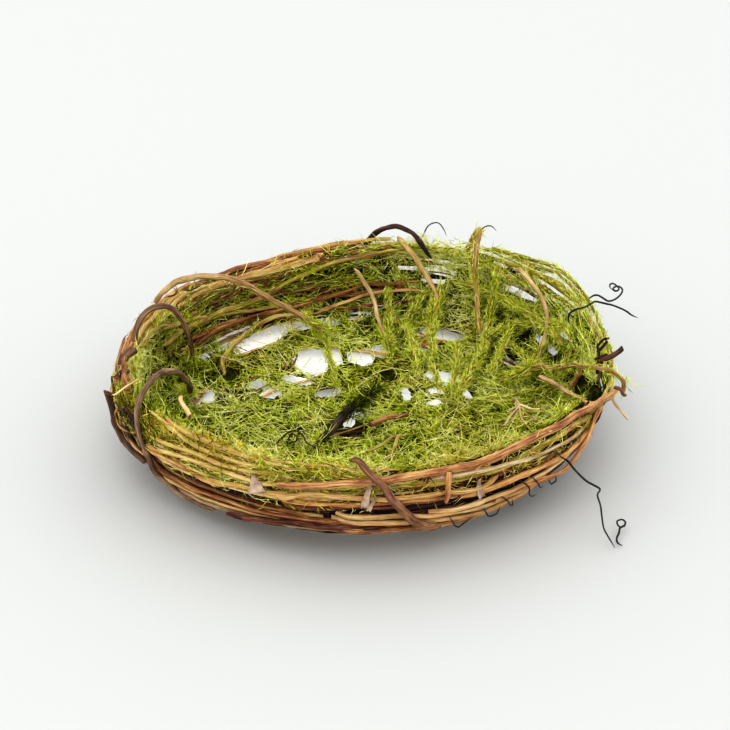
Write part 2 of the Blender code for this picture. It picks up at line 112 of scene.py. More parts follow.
def free(angle, radius, height):
    turn = math.radians(angle)
    return np.array([AXIS_X + radius * math.cos(turn), AXIS_Y + radius * math.sin(turn), height])


def lay(*parts):
    """The places of a route, each part of which is a way of placing and the places that it takes."""
    return [place_on(*place) for place_on, *places in parts for place in places]


def level(places, out):
    """The shell places of (angle, up) pairs, all equally far outside the wall's face."""
    return [shell(angle, up, out) for angle, up in places]


def smooth_route(places, spacing):
    """Points at even distances along the smooth curve through the places."""
    places = np.asarray(places, float)
    ends = np.vstack([2 * places[0] - places[1], places, 2 * places[-1] - places[-2]])
    t = (np.arange(16) / 16)[:, None]
    fine = [0.5 * (2 * b + (c - a) * t + (2 * a - 5 * b + 4 * c - d) * t ** 2
                   + (3 * b - a - 3 * c + d) * t ** 3)
            for a, b, c, d in zip(ends, ends[1:], ends[2:], ends[3:])]
    fine = np.vstack(fine + [places[-1:]])
    length = np.concatenate([[0.0], np.cumsum(np.linalg.norm(np.diff(fine, axis=0), axis=1))])
    want = np.linspace(0.0, length[-1], max(4, round(length[-1] / spacing) + 1))
    return np.column_stack([np.interp(want, length, fine[:, axis]) for axis in range(3)])


def ripple(count, waves, size):
    """A smooth random wander: count values, about that many waves long and that high."""
    at = np.linspace(0.0, 1.0, count)
    return sum(size / (k + 1) * np.sin(2 * math.pi * (waves * (k + 1) * at * chance.uniform(0.7, 1.3)
                                                      + chance.uniform())) for k in range(3))


def unit(rows):
    return rows / np.linalg.norm(rows, axis=-1, keepdims=True)


# ---------------------------------------------------------------- materials
def linear(hexcode):
    """A colour given as sRGB hex, as the linear values that a shader takes."""
    parts = [int(hexcode[i:i + 2], 16) / 255 for i in (0, 2, 4)]
    return (*(p / 12.92 if p <= 0.04045 else ((p + 0.055) / 1.055) ** 2.4 for p in parts), 1.0)


def add_node(tree, kind, links=None, stops=(), **settings):
    """One node: its settings, its sockets' values or the sockets that feed them, and a ramp's stops."""
    made = tree.nodes.new(kind)
    for name, value in settings.items():
        setattr(made, name, value)
    for name, value in (links or {}).items():
        if isinstance(value, bpy.types.NodeSocket):
            tree.links.new(value, made.inputs[name])
        else:
            made.inputs[name].default_value = value
    for index, (place, colour) in enumerate(stops):
        ramp = made.color_ramp.elements
        stop = ramp[index] if index < len(ramp) else ramp.new(place)
        stop.position = place
        stop.color = linear(colour)
    return made


def new_material(name, roughness, ior, gloss=0.5):
    material = bpy.data.materials.new(name)
    material.use_nodes = True
    shader = material.node_tree.nodes["Principled BSDF"]
    shader.inputs["Roughness"].default_value = roughness
    shader.inputs["IOR"].default_value = ior
    shader.inputs["Metallic"].default_value = 0.0
    shader.inputs["Specular IOR Level"].default_value = gloss
    return material, material.node_tree, shader


def vine_bark():
    """Dried vine runner with its bark on: long papery fibres, tan to red brown, dull, with dark furrows."""
    material, tree, shader = new_material("dried_vine_bark", 0.65, 1.5, gloss=0.35)
    grain = add_node(tree, "ShaderNodeAttribute", attribute_name="grain").outputs["Vector"]
    tint = add_node(tree, "ShaderNodeAttribute", attribute_name="tint").outputs["Color"]
    parts = add_node(tree, "ShaderNodeSeparateColor", {"Color": tint})
    hue, grey, moss = parts.outputs["Red"], parts.outputs["Green"], parts.outputs["Blue"]
    # noises drawn out along the vine, by width and length in millimetres
    fibre, patch, film = (
        add_node(tree, "ShaderNodeTexNoise", {
            "Vector": add_node(tree, "ShaderNodeMapping", {
                "Vector": grain, "Scale": (1 / wide, 1 / wide, 1 / long)}).outputs[0],
            "Scale": 1.0, "Detail": detail, "Roughness": roughness}).outputs["Fac"]
        for wide, long, detail, roughness in ((0.3, 7.0, 3.0, 0.6),        # fibres
                                              (3.0, 10.0, 3.0, 0.65),      # weathered patches
                                              (1.6, 4.0, 2.0, 0.5)))       # green dust of moss
    tone = hue
    for noise, share in ((fibre, 1.0), (patch, 0.8)):
        step = add_node(tree, "ShaderNodeMath", {0: noise, 1: -0.5}, operation="ADD")
        tone = add_node(tree, "ShaderNodeMath", {0: step.outputs[0], 1: share, 2: tone},
                        operation="MULTIPLY_ADD").outputs[0]
    bark, dull, green = (
        add_node(tree, "ShaderNodeValToRGB", {"Fac": tone}, stops=stops).outputs["Color"] for stops in (
            ((0.0, "1A0C0A"), (0.2, "522A1A"), (0.4, "985C3A"), (0.6, "CC9A60"), (0.8, "E4C28A"),
             (1.0, "F4E0BC")),
            ((0.0, "181214"), (0.35, "4E403E"), (0.65, "8A7872"), (1.0, "CFC2B8")),
            ((0.0, "3A3A0C"), (0.45, "8A8A28"), (0.75, "C2BC50"), (1.0, "E4DE92"))))
    film_cut = add_node(tree, "ShaderNodeMapRange", {"Value": film, "From Min": 0.3, "From Max": 0.55})
    film_part = add_node(tree, "ShaderNodeMath", {0: film_cut.outputs[0], 1: moss}, operation="MULTIPLY")
    aged = add_node(tree, "ShaderNodeMix", {0: grey, 6: bark, 7: dull}, data_type="RGBA")
    mossy = add_node(tree, "ShaderNodeMix", {0: film_part.outputs[0], 6: aged.outputs[2], 7: green},
                     data_type="RGBA")
    tree.links.new(mossy.outputs[2], shader.inputs["Base Color"])
    bump = add_node(tree, "ShaderNodeBump", {"Height": fibre, "Distance": 0.00022, "Strength": 1.0})
    tree.links.new(bump.outputs[0], shader.inputs["Normal"])
    return material


def cut_wood():
    """The sawn-off end of a dry vine: reddish, with darker pith, matte."""
    material, tree, shader = new_material("cut_vine_end", 0.85, 1.5)
    grain = add_node(tree, "ShaderNodeAttribute", attribute_name="grain").outputs["Vector"]
    spots = add_node(tree, "ShaderNodeTexNoise", {"Vector": grain, "Scale": 2.2, "Detail": 2.0})
    wood = add_node(tree, "ShaderNodeValToRGB", {"Fac": spots.outputs["Fac"]}, stops=(
        (0.3, "43221A"), (0.55, "7A4A3A"), (0.75, "B48E74")))
    tree.links.new(wood.outputs["Color"], shader.inputs["Base Color"])
    return material


def tendril_skin():
    """Dried tendril: hard, nearly black, a little glossier than bark."""
    material, tree, shader = new_material("dried_tendril", 0.5, 1.5)
    grain = add_node(tree, "ShaderNodeAttribute", attribute_name="grain").outputs["Vector"]
    place = add_node(tree, "ShaderNodeMapping", {"Vector": grain, "Scale": (3.0, 3.0, 0.4)})
    spots = add_node(tree, "ShaderNodeTexNoise", {"Vector": place.outputs[0], "Scale": 1.0, "Detail": 2.0})
    skin = add_node(tree, "ShaderNodeValToRGB", {"Fac": spots.outputs["Fac"]}, stops=(
        (0.3, "0A0908"), (0.6, "1E1A18"), (0.85, "50423A")))
    tree.links.new(skin.outputs["Color"], shader.inputs["Base Color"])
    return material


def dyed_moss():
    """Preserved sheet moss, dyed yellow green: dry leafy threads, lighter at the tips, some gone to straw."""
    material, tree, shader = new_material("preserved_moss", 0.9, 1.45, gloss=0.12)
    parts = add_node(tree, "ShaderNodeSeparateColor", {
        "Color": add_node(tree, "ShaderNodeAttribute", attribute_name="strand").outputs["Color"]})
    tone, straw, along = parts.outputs["Red"], parts.outputs["Green"], parts.outputs["Blue"]
    lift = add_node(tree, "ShaderNodeMath", {0: along, 1: 0.2, 2: tone}, operation="MULTIPLY_ADD")
    green = add_node(tree, "ShaderNodeValToRGB", {"Fac": lift.outputs[0]}, stops=(
        (0.0, "121804"), (0.2, "465A08"), (0.42, "9CAE1C"), (0.62, "CEDC38"), (0.8, "EAF066"),
        (1.0, "F8F8A8")))
    dry = add_node(tree, "ShaderNodeValToRGB", {"Fac": lift.outputs[0]}, stops=(
        (0.0, "3A220E"), (0.3, "8A6426"), (0.55, "D0AC4C"), (0.78, "E8D074"), (1.0, "F4E8A8")))
    mixed = add_node(tree, "ShaderNodeMix", {0: straw, 6: green.outputs["Color"], 7: dry.outputs["Color"]},
                     data_type="RGBA")
    tree.links.new(mixed.outputs[2], shader.inputs["Base Color"])
    return material


def moss_mat_painted_shade():
    """The felted underside of the moss with matted roots in it: its dark olive to brown is painted shade for
    the deep gaps among the threads.
    """
    material, tree, shader = new_material("matted_moss_roots_painted_shade", 0.95, 1.45, gloss=0.1)
    place = add_node(tree, "ShaderNodeTexCoord").outputs["Object"]
    # lumps 3 mm across, and roots 0.5 mm thick in them
    lump = add_node(tree, "ShaderNodeTexNoise", {"Vector": place, "Scale": 330.0, "Detail": 4.0,
                                                 "Roughness": 0.7})
    root = add_node(tree, "ShaderNodeTexNoise", {"Vector": place, "Scale": 1500.0, "Detail": 2.0,
                                                 "Roughness": 0.6, "Distortion": 1.5})
    mixed = add_node(tree, "ShaderNodeMix", {0: 0.5, 6: lump.outputs["Fac"], 7: root.outputs["Fac"]},
                     data_type="RGBA")
    # this ramp's near black to dark olive is the roots' own colour darkened with painted shade for the gaps
    # among the threads
    felt = add_node(tree, "ShaderNodeValToRGB", {"Fac": mixed.outputs[2]}, stops=(
        (0.3, "0E0C06"), (0.45, "2A2A0E"), (0.56, "4A4E16"), (0.66, "7E7A2C"), (0.8, "A89A4A")))
    tree.links.new(felt.outputs["Color"], shader.inputs["Base Color"])
    bump = add_node(tree, "ShaderNodeBump", {"Height": root.outputs["Fac"], "Distance": 0.0006,
                                             "Strength": 1.0})
    tree.links.new(bump.outputs[0], shader.inputs["Normal"])
    return material


def papery_husk():
    """A dry husk or loose bark strip: thin, papery, greyish pink, with fine long ribs."""
    material, tree, shader = new_material("papery_husk", 0.8, 1.45)
    place = add_node(tree, "ShaderNodeTexCoord").outputs["Object"]
    ribs = add_node(tree, "ShaderNodeTexNoise", {"Vector": place, "Scale": 420.0, "Detail": 1.0})
    paper = add_node(tree, "ShaderNodeValToRGB", {"Fac": ribs.outputs["Fac"]}, stops=(
        (0.3, "7E6250"), (0.5, "A48A74"), (0.7, "C4AE98")))
    tree.links.new(paper.outputs["Color"], shader.inputs["Base Color"])
    bump = add_node(tree, "ShaderNodeBump", {"Height": ribs.outputs["Fac"], "Distance": 0.0002,
                                             "Strength": 1.0})
    tree.links.new(bump.outputs[0], shader.inputs["Normal"])
    return material


def painted_board():
    """The plain pale floor, matte paint."""
    material, _, shader = new_material("pale_floor", 0.75, 1.45)
    shader.inputs["Base Color"].default_value = linear("C4C4C1")
    return material


BARK, CUT_WOOD, TENDRIL, MOSS, MAT, HUSK = (vine_bark(), cut_wood(), tendril_skin(), dyed_moss(), moss_mat_painted_shade(),
                                            papery_husk())

# ---------------------------------------------------------------- vines
# how a vine looks: (hue from dark red brown to pale tan, greyness, moss film)
# one look, near black, is no vine's colour but painted shade for the dark gaps in the wall
LOOKS = {
    "tan": (0.6, 0.2, 0.25), "gold": (0.68, 0.1, 0.5), "orange": (0.54, 0.05, 0.05), "rust": (0.42, 0.1, 0.1),
    "red": (0.28, 0.2, 0.0), "dark": (0.14, 0.5, 0.0), "plum": (0.34, 0.65, 0.1), "drift": (0.52, 0.74, 0.12),
    "husk": (0.68, 0.6, 0.2), "straw": (0.82, 0.1, 0.3), "leaf": (0.56, 0.35, 0.6), "pale": (0.6, 0.4, 0.2),
    "strap": (0.64, 0.16, 0.05), "worn": (0.42, 0.45, 0.1), "mossy": (0.55, 0.1, 0.9),
    "film": (0.52, 0.25, 0.7), "olive": (0.45, 0.1, 1.0), "painted_shade": (0.0, 0.3, 0.0), "char": (0.04, 0.6, 0.15),
    "hazel": (0.5, 0.35, 0.4)}


def new_shape():
    shape = bmesh.new()
    shape.verts.layers.float_vector.new("grain")
    shape.verts.layers.float_color.new("tint")
    return shape


def carry_frame(route):
    """Two directions across the route at each point, turning no more than it does."""
    ahead = unit(np.gradient(route, axis=0))
    first = np.cross(ahead[0], (0.3, 0.2, 1.0))
    across = np.empty_like(route)
    for index, way in enumerate(ahead):
        first = first - way * first.dot(way)
        first = first / math.sqrt(first.dot(first))
        across[index] = first
    return ahead, across, np.cross(ahead, across)


def add_stem(shape, route, radius, look, sides=8, spacing=1.6, tip=0.72, wander=0.12, relief=1.0, knots=True,
             cut=True, flat=1.0, stouter=None):
    """A length of vine: a grid rolled round its route, knotted and fluted, with cut or drawn-out ends.

    A flat one is that many times as wide along the wall as it is thick, and stouter gives its share of the
    radius at angles round the nest.
    """
    route = smooth_route(route, spacing)
    count = len(route)
    for axis in range(3):
        route[:, axis] += ripple(count, count * spacing / 22.0, wander)
    route[:, 2] = np.maximum(route[:, 2], radius * 1.1 + 0.05)
    ahead, across, over = carry_frame(route)
    along = np.concatenate([[0.0], np.cumsum(np.linalg.norm(np.diff(route, axis=0), axis=1))])
    thick = radius * np.linspace(1.0, tip, count) * (1.0 + ripple(count, along[-1] / 9.0, 0.05 * relief))
    if knots:
        for place in np.arange(chance.uniform(5, 30), along[-1], chance.uniform(28, 55)):
            thick *= 1.0 + chance.uniform(0.12, 0.35) * np.exp(-((along - place) / (0.9 * radius + 0.5)) ** 2)
    turn = np.linspace(0.0, 2 * math.pi, sides + 1)
    flute = np.append(chance.normal(0.0, 0.07 * relief, sides), 0.0)
    flute[-1] = flute[0]
    lobes = 1.0 + flute + 0.08 * relief * np.sin(2 * turn + chance.uniform(0, 6) + along[:, None] / 14.0)
    grit = chance.normal(0.0, 0.035 * relief, (count, sides + 1))
    grit[:, -1] = grit[:, 0]
    if stouter:
        bearing = np.degrees(np.arctan2(route[:, 1] - AXIS_Y, route[:, 0] - AXIS_X))
        thick *= np.interp(bearing, *zip(*stouter))
    if not cut:
        thick *= np.minimum(1.0, 0.35 + np.minimum(along, along[-1] - along) / 4.0)
    reach = thick[:, None] * (lobes + grit)
    if flat != 1.0:
        outward = route - (AXIS_X, AXIS_Y, 20.0)
        across = unit(outward - ahead * np.sum(outward * ahead, axis=1)[:, None])
        over = np.cross(ahead, across) * flat
    ring = (np.cos(turn)[None, :, None] * across[:, None, :] + np.sin(turn)[None, :, None] * over[:, None, :])
    rows = route[:, None, :] + ring * reach[:, :, None]
    slant = chance.uniform(0.2, 0.9, 2)
    for end, sign in ((0, -1.0), (-1, 1.0)):
        tilt = slant[end] * sign * reach[end] * np.cos(turn + chance.uniform(0, 6))
        rows[end] += ahead[end] * tilt[:, None]
    rows[..., 2] = np.maximum(rows[..., 2], 0.02)
    poles = rows[[0, -1], :-1].mean(axis=1)
    rows = np.concatenate([np.broadcast_to(poles[0], (1, sides + 1, 3)), rows,
                           np.broadcast_to(poles[1], (1, sides + 1, 3))])
    grain = np.empty_like(rows)
    start = chance.uniform(0, 500)
    grain[1:-1, :, 0] = np.cos(turn) * reach
    grain[1:-1, :, 1] = np.sin(turn) * reach
    grain[1:-1, :, 2] = (along + start)[:, None]
    grain[0], grain[-1] = (0.0, 0.0, start), (0.0, 0.0, start + along[-1])
    hue, grey, film = look
    tint = (hue + chance.normal(0.0, 0.05), grey, film, 1.0 if cut else 0.0)
    made = bmesh.ops.create_grid(shape, x_segments=sides, y_segments=count + 1, size=1.0)["verts"]
    grain_layer, tint_layer = shape.verts.layers.float_vector["grain"], shape.verts.layers.float_color["tint"]
    for vert, place, mark in zip(made, (rows * MM).reshape(-1, 3).tolist(), grain.reshape(-1, 3).tolist()):
        vert.co = place
        vert[grain_layer] = mark
        vert[tint_layer] = tint
    return route


def finish_stems(shape, name, nodes=(), skin=BARK):
    """Welds the seams and the ends' poles, and makes the piece, with bare wood on the cut ends."""
    bmesh.ops.remove_doubles(shape, verts=shape.verts, dist=WELD)
    bmesh.ops.recalc_face_normals(shape, faces=shape.faces)
    tint_layer = shape.verts.layers.float_color["tint"]
    for face in shape.faces:
        face.smooth = True
        face.material_index = 1 if len(face.verts) == 3 and face.verts[0][tint_layer][3] > 0.5 else 0
    mesh = bpy.data.meshes.new(name)
    shape.to_mesh(mesh)
    shape.free()
    mesh.set_sharp_from_angle(angle=SHARP_ANGLE)
    finish_piece(name, mesh, (skin, CUT_WOOD), nodes)


def finish_piece(name, mesh, skins, nodes):
    for skin in skins:
        mesh.materials.append(skin)
    piece = bpy.data.objects.new(name, mesh)
    bpy.context.scene.collection.objects.link(piece)
    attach(piece, "root")
    if nodes:
        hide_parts(*nodes)
    return piece


def ring_route(start, sweep, up, out, rise=0.0, sway=0.5):
    """A route round the wall, rising from one end to the other, with a slow wander."""
    count = max(6, round(abs(sweep) / 3.0) + 1)
    angle = np.linspace(start, start + sweep, count)
    waves = abs(sweep) / 75.0
    height = up + rise * np.linspace(-0.5, 0.5, count) + ripple(count, waves, sway)
    return shell(angle, height, out + ripple(count, waves, 0.4 * sway))


def single(name, route, radius, look, slot, **settings):
    shape = new_shape()
    placed = add_stem(shape, route, radius, LOOKS[look], **settings)
    finish_stems(shape, name + "_stem", (name,))
    return placed


def pick_look(names, shares=None):
    return LOOKS[chance.choice(names, p=shares)]


def make_base():
    rows = ((3.0, 141, 342, 0.93, "red", 0.0), (11.5, 20, 340, 0.45, "tan", -8.5),
            (20.5, 220, 330, 0.4, "tan", 3.5), (31.0, 60, 315, 0.4, "tan", 0.0))
    for index, (inset, start, sweep, radius, look, shift) in enumerate(rows):
        angle = np.linspace(start, start + sweep, round(sweep / 4))
        aside = shift * swell(angle, 118, 25)        # clear of the widest hole in the moss
        route = shell(angle, -inset - aside + ripple(len(angle), 4, 0.5), -radius - 0.02)
        single(f"base_vine_{index + 1}", route, radius, look, "vine_bark", wander=0.0, relief=0.3,
               knots=False, tip=1.0)


def gather(angle, up):
    """The coils draw together at the right end of the front."""
    return up + (28.5 - up) * 0.3 * swell(angle, -30, 13) * (np.asarray(up) > 10.0)


def make_coils():
    """Each coil of the wall is a stout length with up to two thin ones that run beside it."""
    number = 0
    stouter = ((-180, 0.8), (-165, 0.62), (-105, 0.68), (-85, 0.9), (-70, 1.0), (-20, 1.0), (0, 0.8),
               (60, 0.66), (90, 0.58), (165, 0.58), (180, 0.8))
    low_stouter = ((-180, 0.8), (0, 0.8), (42, 0.42), (70, 0.42), (90, 0.5), (105, 0.4), (150, 0.42),
                   (180, 0.8))
    for row in range(10):
        lengths = 1 if row in (1, 3, 5, 8) else 2
        for piece in range(lengths):
            number += 1
            start = 130.0 + 83.0 * row + piece * 360.0 / lengths
            sweep = 360.0 / lengths - (7.0 if row else 16.0)
            up = LOWEST_COIL + COIL_PITCH * row
            dark = number % 4 == 0
            # the coil of row 7 takes the near-black look all round: painted shade for the dark gap over it
            if row == 7:
                main = LOOKS["painted_shade"]
            else:
                main = LOOKS["dark"] if dark else pick_look(("red", "rust", "tan"), (0.4, 0.4, 0.2))
            shape = new_shape()
            angle = np.linspace(start, start + sweep, round(sweep / 3) + 1)
            # the dark gap of the front left lies over the coil that sinks into the wall there; the coil's
            # near-black look adds painted shade to it
            sink = (2.4 if row == 7 else 0.0) * swell(angle, -118, 34)
            # the lowest ones part round the two wide gaps at the back
            aside = (-2.6, -4.6, 0.6, 1.4, 0.6)[row] if row < 5 else 0.0
            aside = aside * (swell(angle, 126, 20) + swell(angle, 57, 14))
            route = shell(angle, gather(angle, up + aside + ripple(len(angle), sweep / 75, 0.45)),
                          -COIL_RADIUS - 0.5 - sink + ripple(len(angle), sweep / 75, 0.2))
            add_stem(shape, route, chance.uniform(1.0, 1.15), main, sides=9, spacing=1.6,
                     stouter=low_stouter if row < 4 else stouter)
            for _ in range(2):
                beside = ring_route(
                    start + chance.uniform(0.0, 0.3) * sweep, sweep * chance.uniform(0.4, 0.7),
                    up + chance.uniform(-1.5, 1.5), chance.uniform(-2.4, -1.2), rise=chance.uniform(-1, 1))
                if clearance(beside, 2.0) > 1.1:
                    # beside rows 6 and 7 the thin lengths are near black too, painted shade for the same gap
                    add_stem(shape, beside, chance.uniform(0.35, 0.5),
                             pick_look(("painted_shade",) if row in (6, 7) else ("rust", "red", "dark")),
                             sides=6, spacing=2.2)
            finish_stems(shape, f"coil_vine_{number:02d}_stem", (f"coil_vine_{number:02d}",))


def make_rim():
    rows = (("rim_vine_1", 84, 186, RIM_UP, -0.9, "tan", 1.0),
            ("rim_vine_2", 276, 160, RIM_UP, -0.9, "mossy", 0.9),
            ("rim_vine_3", 98, 58, RIM_UP + 3.1, -1.8, "rust", 1.1),
            ("rim_vine_4", 104, 50, RIM_UP + 1.9, -5.3, "tan", 1.1))
    for name, start, sweep, up, out, look, radius in rows:
        single(name, ring_route(start, sweep, up, out, sway=0.4), radius, look, "vine_bark", sides=9)


# look, radius and the (angle, up) places of the lengths that hold the moss to the back wall
INNER_LENGTHS = (
    ("film", 0.95, (
        (166, 25), (152, 23.5), (138, 22), (128, 21.5), (119.9, 23), (114.4, 27), (109.6, 29.4),
        (102.7, 31.8), (95.8, 33.8), (88.8, 34.6), (82, 35.6))),
    ("film", 0.7, (
        (166, 33), (163.1, 31.6), (153.3, 27.8), (144.7, 24.3), (138, 21), (128.5, 17.2), (119.7, 14.6),
        (110, 14))),
    ("rust", 0.8, (
        (152, 12), (140, 12.6), (126, 12.4), (113.4, 11.4), (101.9, 13.6), (94.3, 17.1), (88.5, 19.6),
        (78, 19))),
    ("olive", 0.9, ((16, 23.5), (28, 23.8), (42, 23.2), (54, 23.6), (62, 23.4))))


def make_inner():
    for index, (look, radius, places) in enumerate(INNER_LENGTHS):
        single(f"inner_vine_{index + 1}", level(places, MOSS_FACE - 1.4), radius, look,
               "vine_mossy" if look == "olive" else "vine_bark", sides=9, cut=False)


# the wraps, loops, spokes and trim: look, radius, and the parts of the route as lay takes them
FREE_VINES = {
    "wrap_vine_long": ("strap", 0.7,
        (shell, (-110, 31.4, 0.6), (-105.4, 32.4, 1.4), (-98.4, 33.6, 1.7), (-90, 35, 1.7),
            (-82, 36.1, 1.2), (-74.8, 36.1, 0.8), (-68.6, 36.1, 0.5), (-62.1, 36.4, 0.2), (-54.7, 36.8, 0),
            (-45.6, 36.7, 0), (-36.2, 36.2, 0), (-29.6, 35.4, 0.2), (-21, 33.4, 1), (-16, 32.4, 1.6))),
    "wrap_vine_front": ("worn", 0.55,
        (shell, (-95.5, 39, -2), (-94.3, 40.4, 1), (-92.9, 39.8, 2.6), (-91.3, 38, 3.2), (-88.2, 34.6, 3.2),
            (-85.4, 30.5, 3), (-82.6, 26.6, 2.6), (-80, 22.9, 2.2), (-76.5, 19.4, 2), (-72.5, 17, 1.7))),
    "wrap_vine_low": ("red", 0.85,
        (on_wall, (-121, 17.2, 0.3), (-110, 19.6, 0.3), (-98, 20.6, 0.3), (-91, 20.5, 0.3))),
    "wrap_vine_back": ("dark", 1.2, (on_wall, (35, 11, 0.3), (60, 16, 0.3), (85, 22, 0.3), (110, 27, 0.3))),
    "loop_vine_tan": ("pale", 0.9,
        (free, (161.5, 68.2, 28.7), (162.9, 66.6, 31), (162.2, 64.9, 33.4), (158, 62.6, 34.9),
            (152.8, 57.4, 35.3), (148.4, 51.5, 34.2), (143.9, 45.2, 31.2), (136.7, 40.1, 26),
            (125, 39.2, 19), (115.5, 39.6, 12.8), (110.5, 42.5, 9.8)),
        (on_moss, (106.5, -9))),
    "loop_vine_purple": ("plum", 0.88,
        (free, (177.9, 68.8, 24.5), (179.2, 68.6, 27.5), (179.2, 68.1, 30.4), (177.1, 66.9, 33),
            (174.7, 65, 34.4), (172.3, 62.3, 34.6), (170.2, 59.1, 32.4), (169, 56.6, 27.5),
            (167.2, 55.2, 21.5), (163.2, 56.4, 13.8)),
        (on_moss, (158, 6.5))),
    "loop_vine_grey": ("drift", 0.88,
        (on_moss, (176, -2)),
        (free, (-177, 53.2, 13.5), (-171, 54.2, 20), (-163.3, 57.7, 27), (-156.6, 63, 31.8),
            (-150.3, 69.2, 34), (-147.4, 73.6, 33.5)),
        (on_wall, (-147.1, 37.5), (-146.2, 33.8), (-144.5, 30), (-142, 25), (-141.5, 19), (-135, 14.5),
            (-125, 14.6))),
    "loop_vine_dark": ("dark", 0.9,
        (shell, (92, 30.5, 1.4), (89.9, 35.2, 1.6), (88.6, 37.4, 1), (86.9, 39.2, 0), (84.8, 40.8, -2),
            (82.8, 41, -3.5), (80.5, 40.8, -5), (78.2, 40.2, -6.5), (75.8, 38.2, -8), (73.8, 35.9, -8.6),
            (71.8, 33, -8.6))),
    "spoke_1": ("pale", 0.7,
        (on_moss, (94.5, 31, OVER_INNER), (91, 22.5, OVER_INNER), (87, 8, OVER_INNER), (83, -8, 1),
            (75, -21))),
    "spoke_2": ("tan", 0.95,
        (shell, (83.1, 36.6, -2), (81.1, 36.9, -6), (79.2, 36.3, -8.8), (76.8, 33.3, -9), (73.8, 27.8, -9),
            (70.8, 22.2, -9), (68, 17, -9), (65.9, 11.3, -9), (64.5, 2.5, -9))),
    "spoke_3": ("hazel", 1.08,
        (on_wall, (65, 29), (63.5, 36.8, 0.6)),
        (shell, (60.5, 41, -3)),
        (on_moss, (57.6, 37.5, OVER_INNER), (54.5, 24, OVER_INNER), (51.5, 12, 2), (45.8, -1))),
    "spoke_4": ("pale", 0.75,
        (shell, (44, 37, -8), (41.7, 38.4, -9), (38.1, 37.1, -9.2), (34.7, 34.9, -9.2), (31.3, 32.8, -9.2),
            (28.6, 30.2, -9.2), (27.2, 27.6, -9.2), (25.9, 22.2, -9), (24.3, 17.4, -9), (22.2, 12.6, -9),
            (19.6, 8.1, -8.8))),
    "spoke_5": ("olive", 0.7, (on_moss, (49, -11), (34, -18, 1), (4, -27))),
    "spoke_6": ("olive", 0.7, (on_moss, (72, -8), (64, -18, 0.8), (42, -30))),
    "rim_arch": ("hazel", 0.9,
        (on_moss, (13.5, -10.2, 0.3), (14.8, -4.6, 0.4), (17, 3.4, 0.6), (16, 7.2, 0.8), (11, 11.5, 1)),
        (free, (-7.4, 55.2, 23.4), (-12.6, 59.1, 26.8), (-15.9, 62.1, 29.1), (-18.9, 65.2, 31),
            (-21.6, 69.4, 32.4), (-23.2, 72.2, 32.4), (-23.5, 73.9, 31.4), (-23.4, 74, 29))),
    "floor_twig_dark": ("char", 1.45,
        (free, (-123.2, 29.2, 7.2), (-123.3, 24.1, 8.4), (-126.5, 17.2, 9.2), (-129.3, 11.2, 9.8),
            (-137.8, 5.7, 9.4))),
    "floor_twig_red": ("red", 0.8, (on_moss, (-80, -37.5), (-58, -38.5, 0.4), (-34, -36.5))),
    "stub_left": ("plum", 1.05,
        (on_wall, (-163.6, 31.6, 0.6), (-163, 28.6, 0.2), (-161.6, 26, 0.2), (-159, 24, 0.3),
            (-156.1, 22.4, 0.3), (-150.7, 21.8, 0.2), (-145.5, 21.6, -0.2))),
    "stub_right": ("dark", 0.62,
        (free, (-17, 65.6, 32.6), (-17.4, 67.9, 33.6), (-17, 69.6, 34.6), (-16.2, 71.2, 36.2)))}


def make_free_vines():
    """The wraps, loops, spokes and trim, each on its part's route, with the routes given back by name."""
    slots = {"dark": "vine_dark", "char": "vine_dark", "plum": "vine_dark", "drift": "vine_grey",
             "worn": "vine_grey", "olive": "vine_mossy"}
    straps = ("wrap_vine_long", "wrap_vine_front")
    ends = {"wrap_vine_front": 1.7, "wrap_vine_long": 1.1, "loop_vine_tan": 0.95, "loop_vine_purple": 0.95,
            "loop_vine_grey": 1.0, "stub_left": 0.7, "stub_right": 1.15}
    whole = ("stub_left", "stub_right", "floor_twig_red", "spoke_4", "rim_arch")
    return {name: single(name, lay(*parts), radius, look, slots.get(look, "vine_bark"), sides=10, spacing=1.0,
                         cut=name in whole, flat=1.5 if name in straps else 1.0,
                         relief=0.6 if name in straps else 1.0, tip=ends.get(name, 0.75))
            for name, (look, radius, *parts) in FREE_VINES.items()}


